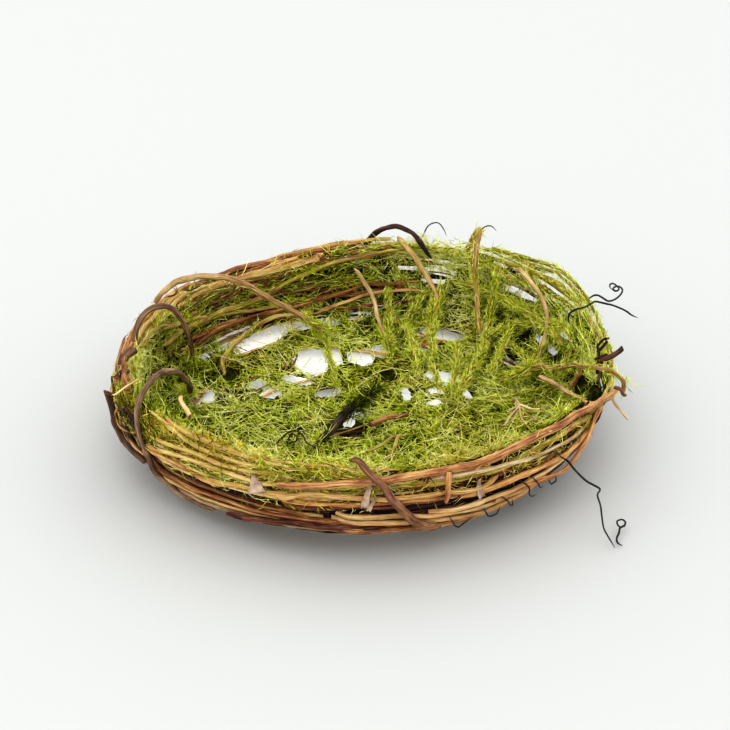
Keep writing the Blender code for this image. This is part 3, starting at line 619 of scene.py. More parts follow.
TENDRILS = {
    "upper": (
        (free, (4.9, 56.5, 31), (4.8, 56.2, 33), (5, 56.9, 34.5), (4.8, 58.5, 35.5), (4.6, 60.5, 36),
            (5.8, 62.5, 36.2), (7.2, 64.3, 36.2), (7, 65.7, 36), (6, 67.5, 36), (5.7, 68.9, 35.8),
            (4.3, 70.9, 35.6), (2.8, 72.6, 35.4), (1.7, 73.8, 35), (0.5, 75.3, 34.8)),),
    "curl": (
        (free, (8.1, 62.4, 36.4), (9, 63.4, 36.6), (9.6, 64.7, 36.8), (9.1, 65.7, 37), (7.4, 66.6, 37),
            (6, 67.7, 36.8), (6.3, 69.3, 37), (7.6, 71.1, 37.2), (9.1, 72.7, 37.4), (10.8, 73.5, 37.4),
            (12.1, 73.1, 37.4), (12.6, 72.1, 37.2), (12.1, 71.2, 36.8), (11.6, 71.9, 36.4),
            (11.6, 72.9, 36.6), (11.9, 72.9, 37.2), (13.6, 72.2, 37.4), (13.5, 71.1, 37.4),
            (12.3, 70.4, 37.4), (11.3, 70.6, 37.2)),),
    "lower": (
        (shell, (-42.8, 27.6, 0.9)),
        (free, (-43.8, 71.5, 18.2), (-44.5, 74.6, 17.3), (-43.8, 77.7, 15), (-42.6, 78.8, 13.5),
            (-41.5, 80.1, 12), (-42.3, 80.1, 10.6), (-43.1, 82.1, 8.6), (-44.1, 84, 6.6), (-45, 85.9, 4.4),
            (-45.2, 88, 2.6), (-45.4, 90.4, 1))),
    "ring": (
        (free, (-44.2, 91.2, 0.9), (-44, 89.4, 0.9), (-43.2, 88.2, 1.2), (-41.9, 87.5, 1.6),
            (-40.9, 86.7, 2), (-40, 87.1, 2.3), (-39.1, 86.6, 2.5), (-38.8, 85.4, 2.6), (-39.6, 84.9, 2.7),
            (-40.4, 85.3, 3), (-41, 86.2, 2.7), (-40.6, 86.9, 2), (-39.6, 87.2, 1.6)),)}


def make_tendrils():
    """Dark curly shoots, each forked one in its part's lengths."""
    for name, parts in TENDRILS.items():
        shape = new_shape()
        add_stem(shape, lay(*parts), 0.31, LOOKS["dark"], sides=6, spacing=0.5, tip=0.75, wander=0.08,
                 relief=0.6, knots=False, cut=False)
        finish_stems(shape, f"tendril_{name}_stem", (f"tendril_{name}",), TENDRIL)


# the shell places of the hooks, and the free ones of the curls
HOOKS = (
    ((-55.5, 26.6, 0.4), (-53.6, 25.2, 2), (-51.6, 22.6, 2), (-50.3, 19.9, 2), (-46.3, 15.5, 2),
     (-44.1, 14.7, 2)),
    ((-51, 25.4, 0.6), (-49.8, 23.8, 2), (-48.4, 22, 2), (-46.8, 20, 2), (-45.8, 19.9, 2)),
    ((-48, 24, 0.6), (-45.3, 21.9, 2), (-41, 17.3, 2), (-39, 16.2, 2), (-38.4, 16.7, 2),
     (-42.4, 21.5, 1.6)),
    ((-60, 23.6, 0.6), (-57.7, 21.9, 2), (-55.7, 19.1, 2), (-53.8, 17.4, 2), (-55.2, 20.3, 1.6)),
    ((-63, 20.6, 0.6), (-61.8, 18.9, 2), (-59.4, 15.4, 2), (-57, 13.3, 2), (-57.2, 15.6, 2),
     (-57.9, 18.8, 1.4)),
    ((-71, 20, 0.6), (-69.8, 18.6, 2), (-68, 15.4, 2), (-65.9, 12.8, 2), (-66.4, 16.2, 2),
     (-64.6, 17.6, 1.4)),
    ((62, 38, -2), (60.5, 41.5, -1), (58.5, 42.5, -0.5), (57, 41, 0)),
    ((76.5, 36.5, -2), (75.5, 40.5, -1.5), (73, 41.5, -1.5), (71, 39.5, -1.8), (70, 37.5, -2)))
CURLS = (
    ((-139.2, 37, 7.5), (-138.3, 33.8, 9.6), (-138.8, 31.4, 10), (-135.7, 30.2, 10.4), (-130.7, 30.5, 10),
     (-125.5, 32.2, 9.6), (-121.5, 32, 9), (-117.5, 32, 8)),
    ((-135.2, 34.3, 7.5), (-136.6, 32.1, 10), (-131.2, 32.7, 10.6), (-130.7, 33.8, 9.6), (-134.5, 33.6, 9)),
    ((166.4, 62.3, 34), (167.9, 60.8, 35.5), (167.7, 59.1, 36), (165.9, 59.3, 36.5), (164.6, 60.6, 36.6)),
    ((160.5, 59.1, 35), (163.4, 57.3, 36.3), (165, 55.9, 36.5), (164.2, 54.9, 36.6), (160.6, 54.2, 36.2),
     (156.8, 55.4, 35)))


def make_hooks():
    """Small dark hooks that curl out of the front right wall, and curls at the rim and on the moss."""
    shape = new_shape()
    for place_on, radius, rows in ((shell, 0.25, HOOKS), (free, 0.27, CURLS)):
        for places in rows:
            add_stem(shape, lay((place_on, *places)), radius, LOOKS["dark"], sides=5, spacing=0.6,
                     wander=0.04, relief=0.6, knots=False, cut=False)
    finish_stems(shape, "small_hooks", (), TENDRIL)


def make_flakes():
    """Loose strips of bark and pale husks: a ribbed strip, twisted and curled, with a wall of its own."""
    rows = (("bark_flake_1", ("bark_flake_1",), -114.0, 31.0, 1.5, 5.6, 5.2, 80.0, 0.4),
            ("bark_flake_2", ("bark_flake_2",), -66.6, 29.6, 1.2, 6.0, 2.2, 80.0, 1.0),
            ("husk_tied", (), -90.6, 32.6, 1.8, 9.0, 2.2, 104.0, 1.0),
            ("husk_tied_low", (), -89.2, 29.2, 1.7, 5.0, 1.3, 118.0, 0.6))
    for name, nodes, angle, up, out, length, width, turn, curl in rows:
        here, around, upward, into = shell_frame(angle, up, out)
        lean = math.radians(turn)
        along = around * math.cos(lean) + upward * math.sin(lean)
        across = upward * math.cos(lean) - around * math.sin(lean)
        shape = bmesh.new()
        bmesh.ops.create_grid(shape, x_segments=12, y_segments=5, size=1.0)
        for vert in shape.verts:
            x, y = vert.co.x, vert.co.y
            twist = 0.5 * x
            wide = width / 2 * (0.58 + 0.42 * x + 0.08 * math.sin(9 * x + 2) + 0.06 * math.sin(23 * x))
            side = y * wide
            rib = 0.14 * math.sin(7.0 * y + 2.0 * x)
            place = (here + along * (x * length / 2) + across * (side * math.cos(twist))
                     - into * (curl * (x * x + 0.5 * y * y * abs(x)) + rib + side * math.sin(twist) * 0.6))
            vert.co = Vector((place * MM).tolist())
        mesh = bpy.data.meshes.new(name)
        shape.to_mesh(mesh)
        shape.free()
        for face in mesh.polygons:
            face.use_smooth = True
        piece = finish_piece(name + "_strip", mesh, (HUSK,), nodes)
        wall = piece.modifiers.new("bark thickness", "SOLIDIFY")
        wall.thickness = HUSK_WALL
        wall.offset = 0.0


# ---------------------------------------------------------------- finer twigs, joined piece by piece
# look, radius and the free places of short lengths. At the left rim: the cut knob, the vine and the dark bit
# under it, the straw across them, a stub in the moss. At the right rim: three dark shoots, a knob, a spike.
# Inside: a pale stick, an orange chip, a star of straws, a forked leaf, a bit of vine. Then the roots of the
# right stub and of the three shoots.
RIM_LENGTHS = (
    ("plum", 1.15, ((-169, 68.4, 32), (-167.2, 69.8, 32.2), (-166.6, 71.2, 31.4), (-166.4, 71.8, 30.2))),
    ("rust", 0.75, (
        (-176, 69, 29.5), (-170, 70.4, 31), (-165.1, 71.6, 31.6), (-158.5, 73.4, 31.8),
        (-152.8, 75, 31.4))),
    ("dark", 0.95, ((-162.5, 71.6, 29.6), (-160.6, 73.4, 30.8), (-158.3, 75.4, 31.5))),
    ("straw", 0.28, ((-152.6, 79, 31), (-152.4, 77.2, 32), (-152.6, 74.5, 33), (-153.4, 71, 33.4))),
    ("tan", 0.65, ((-146.4, 62.9, 29.4), (-145.4, 63.3, 29.2), (-142.9, 63.8, 28.4), (-139.7, 64.6, 27.4))),
    ("dark", 0.42, ((-13.8, 64.2, 32.6), (-13, 65.6, 34.4), (-12.9, 66.4, 35.9))),
    ("dark", 0.42, ((-16.2, 64, 31.8), (-16.8, 65.3, 33), (-17.1, 67.5, 34.3))),
    ("dark", 0.36, ((-10.8, 63.6, 32.6), (-10.2, 65.2, 34.6), (-10.6, 66.6, 35.4))),
    ("dark", 0.5, ((-25.2, 72.2, 30.2), (-25.8, 74, 30.4), (-26.6, 75.2, 29.6), (-25.6, 75.6, 28.8))),
    ("husk", 0.34, ((-27.2, 72, 28.6), (-28.3, 73.6, 28), (-29, 76, 26.5), (-29.6, 78.6, 25))),
    ("pale", 0.7, (
        (6.4, 49.1, 13), (-1, 50.5, 15), (-12.8, 54.7, 19), (-23.3, 60.5, 23.5), (-30.3, 67.1, 27))),
    ("orange", 0.7, ((-3.8, 57, 15), (-6.6, 58.2, 19), (-11.3, 60.1, 25))),
    ("husk", 0.3, ((-24.7, 44.8, 17.5), (-34, 46.5, 19), (-45.6, 50.1, 21))),
    ("tan", 0.26, ((-24.7, 44.8, 17.5), (-35, 49.5, 19.5), (-41.7, 55.5, 22))),
    ("husk", 0.28, ((-24.7, 44.8, 17.5), (-34, 47, 18.5), (-40.8, 49.8, 20))),
    ("straw", 0.24, ((-24.7, 44.8, 17.5), (-28.5, 49, 19.5), (-31.8, 54, 22))),
    ("tan", 0.24, ((-24.7, 44.8, 17.5), (-33, 50, 20), (-39.3, 56.7, 23))),
    ("husk", 0.3, ((-17.1, 41.9, 16), (-24.7, 44.8, 17.5), (-32.5, 43.6, 18))),
    ("leaf", 0.4, ((-69.5, 20.4, 7.5), (-77, 22, 8.6), (-85, 26.5, 9), (-93.6, 30.8, 9.5))),
    ("leaf", 0.6, ((-69.5, 20.4, 7.5), (-74, 23.4, 8.6), (-78.5, 28, 8.8), (-82.5, 33.9, 9))),
    ("plum", 0.6, ((165, 47, 5.2), (168.5, 43.2, 5.8), (175, 38.4, 5.4))),
    ("dark", 0.6, ((-18.6, 66, 28), (-17.6, 65.6, 30.8), (-17, 65.8, 33))),
    ("dark", 0.42, ((-15.4, 65.2, 28), (-14.4, 64.6, 30.6), (-13.8, 64.4, 33))),
    ("dark", 0.42, ((-17.6, 65, 28), (-16.6, 64.3, 30.2), (-16.2, 64.1, 32.1))),
    ("dark", 0.36, ((-12.2, 64.8, 28), (-11.4, 64.2, 30.6), (-10.8, 63.8, 33))))

# look, radius, outside the wall's face, and the (angle, up) places of the stout lengths of the front
FRONT_LENGTHS = (
    ("husk", 0.6, 0.6, (
        (-78, 33.6), (-73.7, 34.1), (-68, 33.8), (-61.2, 33.2), (-53.5, 31.9), (-44.8, 31.1), (-36.4, 30.9),
        (-28, 31.5))),
    ("tan", 0.85, 0.9, (
        (-112, 27), (-107.2, 28.3), (-102.6, 30), (-98, 30.3), (-94.1, 30.2), (-88.1, 29.6), (-82.9, 29.8),
        (-77.3, 29.8), (-73.8, 29.7), (-69.6, 29), (-65.8, 28.8), (-61, 29.4))),
    ("orange", 0.75, 0.3, (
        (-110, 26.2), (-104.1, 26.6), (-97.8, 27.4), (-91.6, 27.6), (-83.4, 28), (-76.9, 28.1),
        (-70, 27.4))),
    ("orange", 0.85, 0.9, (
        (-70, 26.4), (-65.7, 27.4), (-57.8, 27.8), (-52.6, 27.5), (-43.7, 26.9), (-37.5, 27.7), (-33, 29.3),
        (-24, 31))),
    ("strap", 0.7, 0.7, (
        (-76, 22), (-68.9, 22.8), (-63.3, 23.4), (-56, 23.6), (-50.8, 24), (-44.7, 24.6), (-38, 26.4),
        (-30, 29))),
    ("tan", 0.62, 0.6, (
        (-96, 23.2), (-93.1, 23.3), (-87.5, 23.4), (-81.8, 23.3), (-75.6, 21.6), (-71.2, 21.4), (-65.2, 21),
        (-58.1, 20.8), (-50.4, 21.6), (-42, 24))),
    ("strap", 0.72, 0.5, (
        (-97, 20.6), (-92.8, 20.8), (-87.1, 20.9), (-81.2, 20.2), (-70.1, 18.4), (-63.2, 17.2), (-57.9, 17),
        (-50, 18.8), (-42, 21.6))),
    ("rust", 0.8, 0.2, (
        (-96, 16.2), (-92.4, 16.2), (-86.2, 15.8), (-80, 15.2), (-72.4, 13.4), (-65, 13), (-57.1, 14.2),
        (-49, 16.8), (-42, 19.6))),
    ("orange", 0.55, -0.3, ((-62, 19), (-54, 20.2), (-46, 21.4), (-38, 24.2), (-30, 27.6))),
    ("red", 0.6, 0, (
        (-108, 24.6), (-103.7, 24.9), (-100.6, 25.3), (-96, 25.9), (-91.5, 26.1), (-85.2, 26.2),
        (-80, 26))),
    ("gold", 0.75, 0.7, (
        (-147, 28), (-142.6, 28.8), (-136, 30.5), (-128.8, 31.6), (-122.2, 31.5), (-117.2, 31),
        (-112.8, 30.8), (-106, 31.5))),
    ("orange", 0.7, 0.7, (
        (-147, 27.2), (-142.7, 27.6), (-136, 28.2), (-131.7, 27.8), (-127.7, 27), (-123.5, 26.7),
        (-117, 26.8))),
    ("gold", 0.7, 0.8, (
        (-146, 31.8), (-140.4, 32.7), (-134, 33.4), (-128.2, 33.9), (-122.5, 33.2), (-116, 33.6),
        (-109, 34))),
    ("gold", 0.7, 0.4, (
        (-143, 38), (-135.8, 37.4), (-131.4, 36), (-126.7, 35.3), (-121.3, 35.1), (-116.1, 35.1),
        (-110, 35.8))),
    ("gold", 0.6, -0.2, (
        (-140, 38.6), (-136.2, 38.6), (-129.3, 37.9), (-123.6, 37.2), (-118.4, 37), (-111.6, 36.4),
        (-103.8, 36), (-98, 35.6))),
    ("rust", 0.7, 0.4, (
        (-148, 21.5), (-140.3, 21.4), (-132.3, 21), (-124.1, 21.2), (-116.7, 20.9), (-109.8, 20.6),
        (-103.3, 20.4), (-96.9, 20.6), (-91, 21))),
    ("tan", 0.5, 0.6, (
        (-146, 18), (-138, 18.6), (-128, 19), (-119, 19), (-111, 19), (-102, 18.6), (-94, 18.4))),
    ("husk", 1, 0.3, (
        (-147, 15), (-139, 14.8), (-128, 15.6), (-117.4, 16.6), (-110.1, 16.8), (-103.3, 16.6),
        (-96.7, 16.8), (-89, 17))),
    ("gold", 0.7, 0.7, ((-130, 26.2), (-124, 27.6), (-118, 28.4), (-111, 28.6), (-105, 29))))


# look, radius, spacing of its rings and the shell places: one that bows clear of the wall, the short upright
# that ties the strap down, and thin ones beside the dark stub at the left
WALL_LENGTHS = (
    ("orange", 0.72, 1.6, (
        (-60, 21.5, 0.4), (-51.8, 23.3, 1.2), (-45.9, 22.8, 1.9), (-41.1, 22.2, 2.3), (-38.1, 24, 2.3),
        (-35.4, 26.9, 2.2), (-33.3, 29.4, 2), (-28, 33, 0.6))),
    ("orange", 0.8, 1, ((-74.3, 36, 1.4), (-74.4, 33.5, 2.6), (-74, 30, 2.4), (-73.6, 27, 1.4))),
    ("plum", 0.55, 1.6, ((-164, 31.5, 0.6), (-163.5, 27.5, 1.4), (-159.5, 23, 2), (-152, 19.5, 1.2))),
    ("tan", 0.4, 1.6, (
        (-158.3, 30.9, 0.6), (-160.3, 27.5, 1.2), (-160.1, 25.4, 1.2), (-154.5, 26.6, 1.2),
        (-148.1, 29.5, 0.8))))


def make_wall_twigs():
    shape = new_shape()
    for _ in range(46):      # behind the coils, all round
        route = ring_route(chance.uniform(0, 360), chance.uniform(25, 90), chance.uniform(1.5, 33),
                           chance.uniform(-3.0, -2.2), rise=chance.uniform(-4, 4))
        if clearance(route, 2.0) > 0.8:
            add_stem(shape, route, chance.uniform(0.3, 0.55), pick_look(("rust", "red", "dark")), sides=6,
                     spacing=2.4)
    for step in range(44):      # on the coils at the sides and the back, with gaps between them
        up = 3.0 + 3.2 * (step % 10) + chance.uniform(-0.6, 0.6)
        route = ring_route(-22 + chance.uniform(0, 150), chance.uniform(40, 90), up,
                           chance.uniform(-0.4, 0.3), rise=chance.uniform(-2, 2))
        if clearance(route, 2.0) > 0.8:
            add_stem(shape, route, chance.uniform(0.5, 0.85), pick_look(("tan", "orange", "rust", "gold")),
                     sides=7, spacing=2.2)
    # the near-black ones here are painted shade, in the dark gap of the front left and all along the front
    # right; the others are red vines
    for up in np.arange(17.5, 33.5, 1.15):      # the dark lengths behind the front
        for start, sweep in ((-150, 70), (-96, 74)):
            add_stem(shape, ring_route(start + chance.uniform(-6, 6), sweep, up, -2.5, sway=0.3),
                     0.75, LOOKS["painted_shade" if abs(up - 23.4) < 2.2 or start == -96 else "red"], sides=6,
                     spacing=2.4)
    # golden lengths side by side at the front left, over the dark gap
    for row in range(7):
        for piece in range(3):
            up = 26.6 + 1.75 * row + chance.uniform(-0.3, 0.3)
            add_stem(shape, ring_route(-178 + piece * 32 + chance.uniform(-6, 6), chance.uniform(28, 44), up,
                                       chance.uniform(-0.7, -0.1), rise=chance.uniform(-1.6, 1.6), sway=0.35),
                     chance.uniform(0.32, 0.5), pick_look(("gold", "gold", "rust", "orange", "straw")),
                     sides=7, spacing=1.8, cut=False)
    # the rough reddish bundle under it
    for row in range(5):
        for piece in range(2):
            add_stem(shape, ring_route(-174 + piece * 44 + chance.uniform(-6, 6), chance.uniform(40, 58),
                                       12.4 + 1.9 * row + chance.uniform(-0.3, 0.3),
                                       chance.uniform(-0.5, 0.2), rise=chance.uniform(-1.5, 1.5)),
                     chance.uniform(0.4, 0.6), pick_look(("red", "rust", "dark")), sides=7, relief=1.6,
                     cut=False)
    # the stout ones of the front, each tucked in between the others at its ends
    for look, radius, out, places in FRONT_LENGTHS:
        places = np.array(places, float)
        tuck = np.zeros(len(places))
        tuck[0] = tuck[-1] = 1.4
        add_stem(shape, shell(places[:, 0], places[:, 1], out - tuck), radius, LOOKS[look], sides=9,
                 spacing=1.2, relief=0.9, wander=0.08)
    for look, radius, spacing, places in WALL_LENGTHS:
        add_stem(shape, lay((shell, *places)), radius, LOOKS[look], spacing=spacing)
    # the tangle over the dark stub at the left
    for _ in range(7):
        angle, up = chance.uniform(-160, -150), chance.uniform(31, 36)
        places = [(angle + chance.uniform(-5, 5), up + chance.uniform(-3.5, 2.5), chance.uniform(0.3, 2.0))
                  for _ in range(4)]
        add_stem(shape, lay((shell, *places)), 0.32, LOOKS["dark"], sides=6, spacing=0.8, cut=False)
    finish_stems(shape, "wall_twigs")


def make_rim_twigs():
    shape = new_shape()
    for _ in range(18):      # the bare bundle at the back left
        add_stem(shape, ring_route(chance.uniform(80, 118), chance.uniform(35, 65), chance.uniform(31, 36),
                                   chance.uniform(-5.0, -0.5), rise=chance.uniform(-3, 3)),
                 chance.uniform(0.35, 0.8), pick_look(("tan", "rust", "orange", "red", "gold")), sides=7,
                 spacing=2.0)
    for up, out, radius in ((34.6, -2.2, 0.9), (35.8, -3.6, 0.8), (33.0, -1.0, 0.8), (36.4, -1.6, 0.7),
                            (34.0, -4.6, 0.8), (31.4, 0.0, 0.8)):      # the tan band at the left
        add_stem(shape, ring_route(146 + chance.uniform(-6, 6), chance.uniform(45, 62), up, out), radius,
                 pick_look(("tan", "gold", "orange")), sides=7, spacing=2.0)
    for look, radius, places in RIM_LENGTHS:
        add_stem(shape, lay((free, *places)), radius, LOOKS[look], sides=8, spacing=0.9, tip=0.9)
    finish_stems(shape, "rim_twigs")


# look, radius, outside the wall's face, and the (angle, up) places of lengths inside the back wall
BACK_LENGTHS = (
    ("film", 0.85, -7.6, (
        (158, -9), (150.9, -4.8), (143, 0), (138.4, 2.3), (132.8, 4.2), (126.2, 6.8), (119.5, 8.6),
        (113.3, 7.8), (106, 7.4))),
    ("rust", 0.8, -7.2, ((150, 15.4), (144.4, 14.6), (139.2, 14.9), (132.9, 13.8), (126, 12.6))),
    ("tan", 0.7, -7.6, ((106, 6), (103.2, 6.7), (96.6, 10), (89, 13.7), (79.1, 16.3), (72, 17))),
    ("red", 0.6, -6.8, ((98, 6), (94.9, 6.7), (87.5, 8.7), (80.8, 10.8), (74, 12))),
    ("tan", 0.75, -4.6, (
        (160, 34), (156.3, 35.5), (151, 36.5), (143.7, 36.3), (138.2, 35.3), (132.7, 34.6), (124, 33))),
    ("film", 0.8, -6, ((184, 38), (172.5, 35.4), (159.3, 30.7), (151.9, 27.9), (144, 26))),
    ("rust", 0.6, -3.4, ((131, 31), (127.4, 30.7), (121, 29.8), (114, 30.2))),
    ("dark", 0.7, -5.4, ((116, 24), (108, 26.4), (99, 28.6), (92, 30.6))),
    ("plum", 0.6, -5.8, ((112, 21), (104, 23.4), (96, 26), (88, 28))))


def make_inner_twigs():
    shape = new_shape()
    for _ in range(46):
        route = ring_route(chance.uniform(70, 125), chance.uniform(25, 70), chance.uniform(4, 31),
                           chance.uniform(-7.0, -3.5), rise=chance.uniform(-8, 8), sway=0.9)
        if clearance(route, 1.0) > 1.0:
            add_stem(shape, route, chance.uniform(0.25, 0.5), pick_look(("rust", "red", "dark", "olive")),
                     sides=6, spacing=2.0, cut=False)
    for look, radius, out, places in BACK_LENGTHS:
        add_stem(shape, level(places, out), radius, LOOKS[look], sides=8, cut=False)
    for _ in range(70):      # under and among the moss of the floor
        turn, aside = math.radians(chance.uniform(0, 360)), chance.uniform(-42, 42)
        half = math.sqrt(46.0 ** 2 - aside ** 2) * chance.uniform(0.3, 0.8)
        across = np.array((-math.sin(turn), math.cos(turn), 0.0))
        way = np.array((math.cos(turn), math.sin(turn), 0.0))
        at = np.linspace(-half, half, 9)[:, None]
        route = (AXIS_X - FOOT_SHIFT, AXIS_Y, chance.uniform(3.0, 5.5)) + across * aside + way * at
        route[:, 2] += ripple(9, 1.0, 0.5)
        route[:, :2] += ripple(9, 1.0, 1.5)[:, None] * across[:2]
        if clearance(route, 1.0) > 1.0:
            add_stem(shape, route, chance.uniform(0.25, 0.45), pick_look(("red", "dark", "tan", "olive")),
                     sides=5, spacing=2.4, cut=False)
    finish_stems(shape, "inner_twigs")


# ---------------------------------------------------------------- moss
def strand_form(rings):
    """One thread, a slim three-sided spindle: its corners' share along it, their way out, and its faces."""
    shape = bmesh.new()
    bmesh.ops.create_uvsphere(shape, u_segments=3, v_segments=rings, radius=1.0)
    shape.verts.ensure_lookup_table()
    spots = np.array([vert.co for vert in shape.verts])
    share = np.arccos(np.clip(-spots[:, 2], -1, 1)) / math.pi
    faces = sorted([vert.index for vert in face.verts] for face in shape.faces)
    shape.free()
    return share, spots[:, :2], np.concatenate([np.array(face) for face in faces]), np.array(
        [len(face) for face in faces])


SHORT_THREAD, LONG_THREAD = strand_form(2), strand_form(4)


def lay_strands(name, rows, form=SHORT_THREAD, nodes=("moss_lining",)):
    """Joins a copy of the thread for each root into one mesh, bent along its way."""
    roots, ways, bends, lengths, radii, tones, straws = rows
    reach, spread, corner_list, sizes = form
    count, corners = len(roots), len(reach)
    t = reach[None, :, None]
    middle = roots[:, None] + (ways[:, None] * t + bends[:, None] * t ** 2) * lengths[:, None, None]
    middle[..., 2] = np.maximum(middle[..., 2], 0.3)
    ahead = unit(ways[:, None] + 2 * bends[:, None] * t)
    side = unit(np.cross(ahead, unit(chance.normal(size=(count, 1, 3)))))
    other = np.cross(ahead, side)
    # fuller near the root than at the tip
    places = middle + (side * spread[None, :, :1] + other * spread[None, :, 1:]) * (
        radii[:, None, None] * (1.15 - 0.5 * t))
    mesh = bpy.data.meshes.new(name)
    mesh.vertices.add(count * corners)
    mesh.vertices.foreach_set("co", (places * MM).astype(np.float32).ravel())
    index = (corner_list[None] + (np.arange(count) * corners)[:, None]).ravel()
    mesh.loops.add(len(index))
    mesh.loops.foreach_set("vertex_index", index.astype(np.int32))
    all_sizes = np.tile(sizes, count)
    mesh.polygons.add(len(all_sizes))
    mesh.polygons.foreach_set("loop_start", np.concatenate([[0], np.cumsum(all_sizes)[:-1]]).astype(np.int32))
    mesh.polygons.foreach_set("use_smooth", np.ones(len(all_sizes), bool))
    mesh.update(calc_edges=True)
    colours = np.ones((count, corners, 4), np.float32)
    colours[..., 0] = tones[:, None]
    colours[..., 1] = straws[:, None]
    colours[..., 2] = reach[None]
    mesh.attributes.new("strand", "FLOAT_COLOR", "POINT").data.foreach_set("color", colours.ravel())
    finish_piece(name, mesh, (MOSS,), nodes)


def shell_frame(angle, up, out):
    """Places on the shell, with the directions round it, up it and into the bowl."""
    here = shell(angle, up, out)
    around = unit(shell(angle + 0.5, up, out) - here)
    into = unit(shell(angle, up, out - 0.5) - here)
    return here, around, unit(np.cross(into, around)), into


# see-through places, and then hollows in the moss, where the threads leave the mat and its painted shade
# bare: angle, up, half length and half width in millimetres across the moss, and the turn from the way round
# the nest
HOLES = (
    (124.4, 2.1, 10.8, 3.1, 20), (115.2, -18.8, 4.2, 8, -21), (102.1, -18.5, 6.1, 1.1, 86),
    (88.8, -20, 3.1, 4.3, 13), (79.7, -15.6, 3.5, 1.6, -73), (135.8, 8.7, 3.7, 1, 6),
    (129.4, 9.4, 1.9, 0.7, 19), (110.1, 5.2, 2.3, 1, 39), (108.5, 2.8, 1.8, 0.9, 29),
    (102.8, 6.2, 1.5, 0.9, 30), (100, 3.5, 1.9, 1.2, 34), (147, 6.3, 1.1, 1.2, -21),
    (152.1, -18.6, 2, 1.6, 0), (157.2, -24.7, 2.5, 1.9, -11), (134.4, -26.6, 4.2, 1.7, -70),
    (127.8, -38.1, 3.2, 1.7, -16), (171.7, -4.7, 1.8, 0.9, 3), (168.5, -7.5, 2.7, 0.9, 25),
    (61, 1.1, 7.1, 3, 18), (62.1, -8.4, 1.2, 2.6, 28), (37.8, -20, 5.4, 2.3, 32), (84.6, 11.2, 1.9, 0.9, 5),
    (91.2, 6.3, 1.8, 0.9, 15), (78.8, 26, 2.3, 0.9, 20), (31.8, 2.3, 2.9, 0.9, 26), (-11.5, 31, 2, 0.4, 7),
    (23.5, 15.4, 0.6, 1.4, 66), (23, 22.7, 2.3, 0.7, -5), (30.1, 15.1, 1.4, 0.7, -3),
    (-10.6, 19.6, 1.6, 0.7, -34), (35.4, -35.5, 3.5, 0.5, -29), (28.7, -26.8, 2.1, 1.3, -84),
    (13.4, -29.7, 1.7, 0.8, -73), (18.3, -19.1, 2.7, 0.5, -5), (-112.9, -46, 1, 1, 9),
    (35.6, 38.2, 2.3, 1.3, 28), (29.1, 40.4, 2.6, 1.4, 15), (31.6, 35.1, 4.5, 1.5, 5),
    (22.6, 37.9, 3.6, 1.7, 2), (30.9, 31.8, 1.8, 0.9, -6), (46.7, 26.5, 1.1, 0.9, 26),
    (41.6, 26.6, 3.2, 1, 1), (22.7, 32.5, 0.9, 0.9, 24), (4.8, 43.5, 2.2, 0.4, 4))
HOLLOWS = (
    (3, 17, 5.5, 3.6, 0), (-8, 24, 4, 3, 0), (34, 6, 4.5, 2.4, 0), (70, 22, 4, 1.6, 0),
    (-110, -42, 5, 3, 0), (38, 14, 4, 1.8, 0), (150, -8, 4, 1.6, 30), (66, -30, 3, 2, 0),
    (-10, 0, 4, 2, 60))


def hole_depth(places, holes=HOLES):
    """How far each place lies inside a hole when it is looked at from the eye: below 1 it covers the hole."""
    depth = np.full(places.shape[:-1], 9.0)
    for angle, up, length, width, aside in holes:
        middle = shell(angle, up, -4.0)
        turn = math.radians(angle + 90.0 + aside)
        offset = places - EYE
        offset = (EYE + offset * ((middle[2] - EYE[2]) / offset[..., 2])[..., None] - middle)[..., :2]
        u = offset[..., 0] * math.cos(turn) + offset[..., 1] * math.sin(turn)
        v = -offset[..., 0] * math.sin(turn) + offset[..., 1] * math.cos(turn)
        depth = np.minimum(depth, (u / (length + 0.5)) ** 2 + (v / (width + 0.5)) ** 2)
    return depth


def clearance(route, spacing):
    """How far a route stays outside the holes: below 1 it covers one."""
    return hole_depth(smooth_route(route, spacing)).min()


def patchwork(count, low, high):
    """A random blotchy field over the shell, as a function of angle and up, from low to high."""
    spots = chance.uniform(0, 360, count), chance.uniform(-50, 38, count), chance.uniform(low, high, count)

    def field(angle, up):
        here = np.maximum(8.0, np.interp(up, WALL_UP, WALL_RADIUS) + np.minimum(up, 0))
        total, weight = np.zeros(np.shape(angle)), np.full(np.shape(angle), 1e-6)
        for spot_angle, spot_up, value in zip(*spots):
            away = ((angle - spot_angle + 180) % 360 - 180) * math.pi / 180 * here
            near = np.exp(-(away ** 2 + (up - spot_up) ** 2) / 36.0)
            total += near * value
            weight += near
        return total / weight
    return field


TINT_FIELD, STRAW_FIELD = patchwork(420, -0.4, 0.38), patchwork(300, -0.5, 0.6)


def threads(angle, up, out, length, radius, rise, tone, straw, heading=None, curl=0.3):
    """Threads rooted on the shell, lying along it at a heading: 0 round the nest, a quarter turn up the wall.

    Those that lie deep get painted shade: a darker tone.
    """
    size = len(angle)
    depth = chance.uniform(*out, size)
    here, around, upward, into = shell_frame(angle, up, depth)
    turn = chance.uniform(0, 2 * math.pi, size) if heading is None else heading
    lift = chance.uniform(*rise, size)
    way = unit(around * np.cos(turn)[:, None] + upward * np.sin(turn)[:, None] + into * lift[:, None])
    bends = chance.normal(0, curl, (size, 3)) - into * (np.maximum(lift, 0) * 0.5)[:, None]
    # threads rooted further out, nearer the wall, get painted shade: their tone falls with depth
    tones = tone + TINT_FIELD(angle, up) + chance.normal(0, 0.17, size) - 0.1 * (depth + 4.6)
    straws = np.clip(straw + STRAW_FIELD(angle, up) + chance.normal(0, 0.2, size), 0, 1)
    return [here, way, bends, chance.uniform(*length, size), chance.uniform(*radius, size), tones, straws]


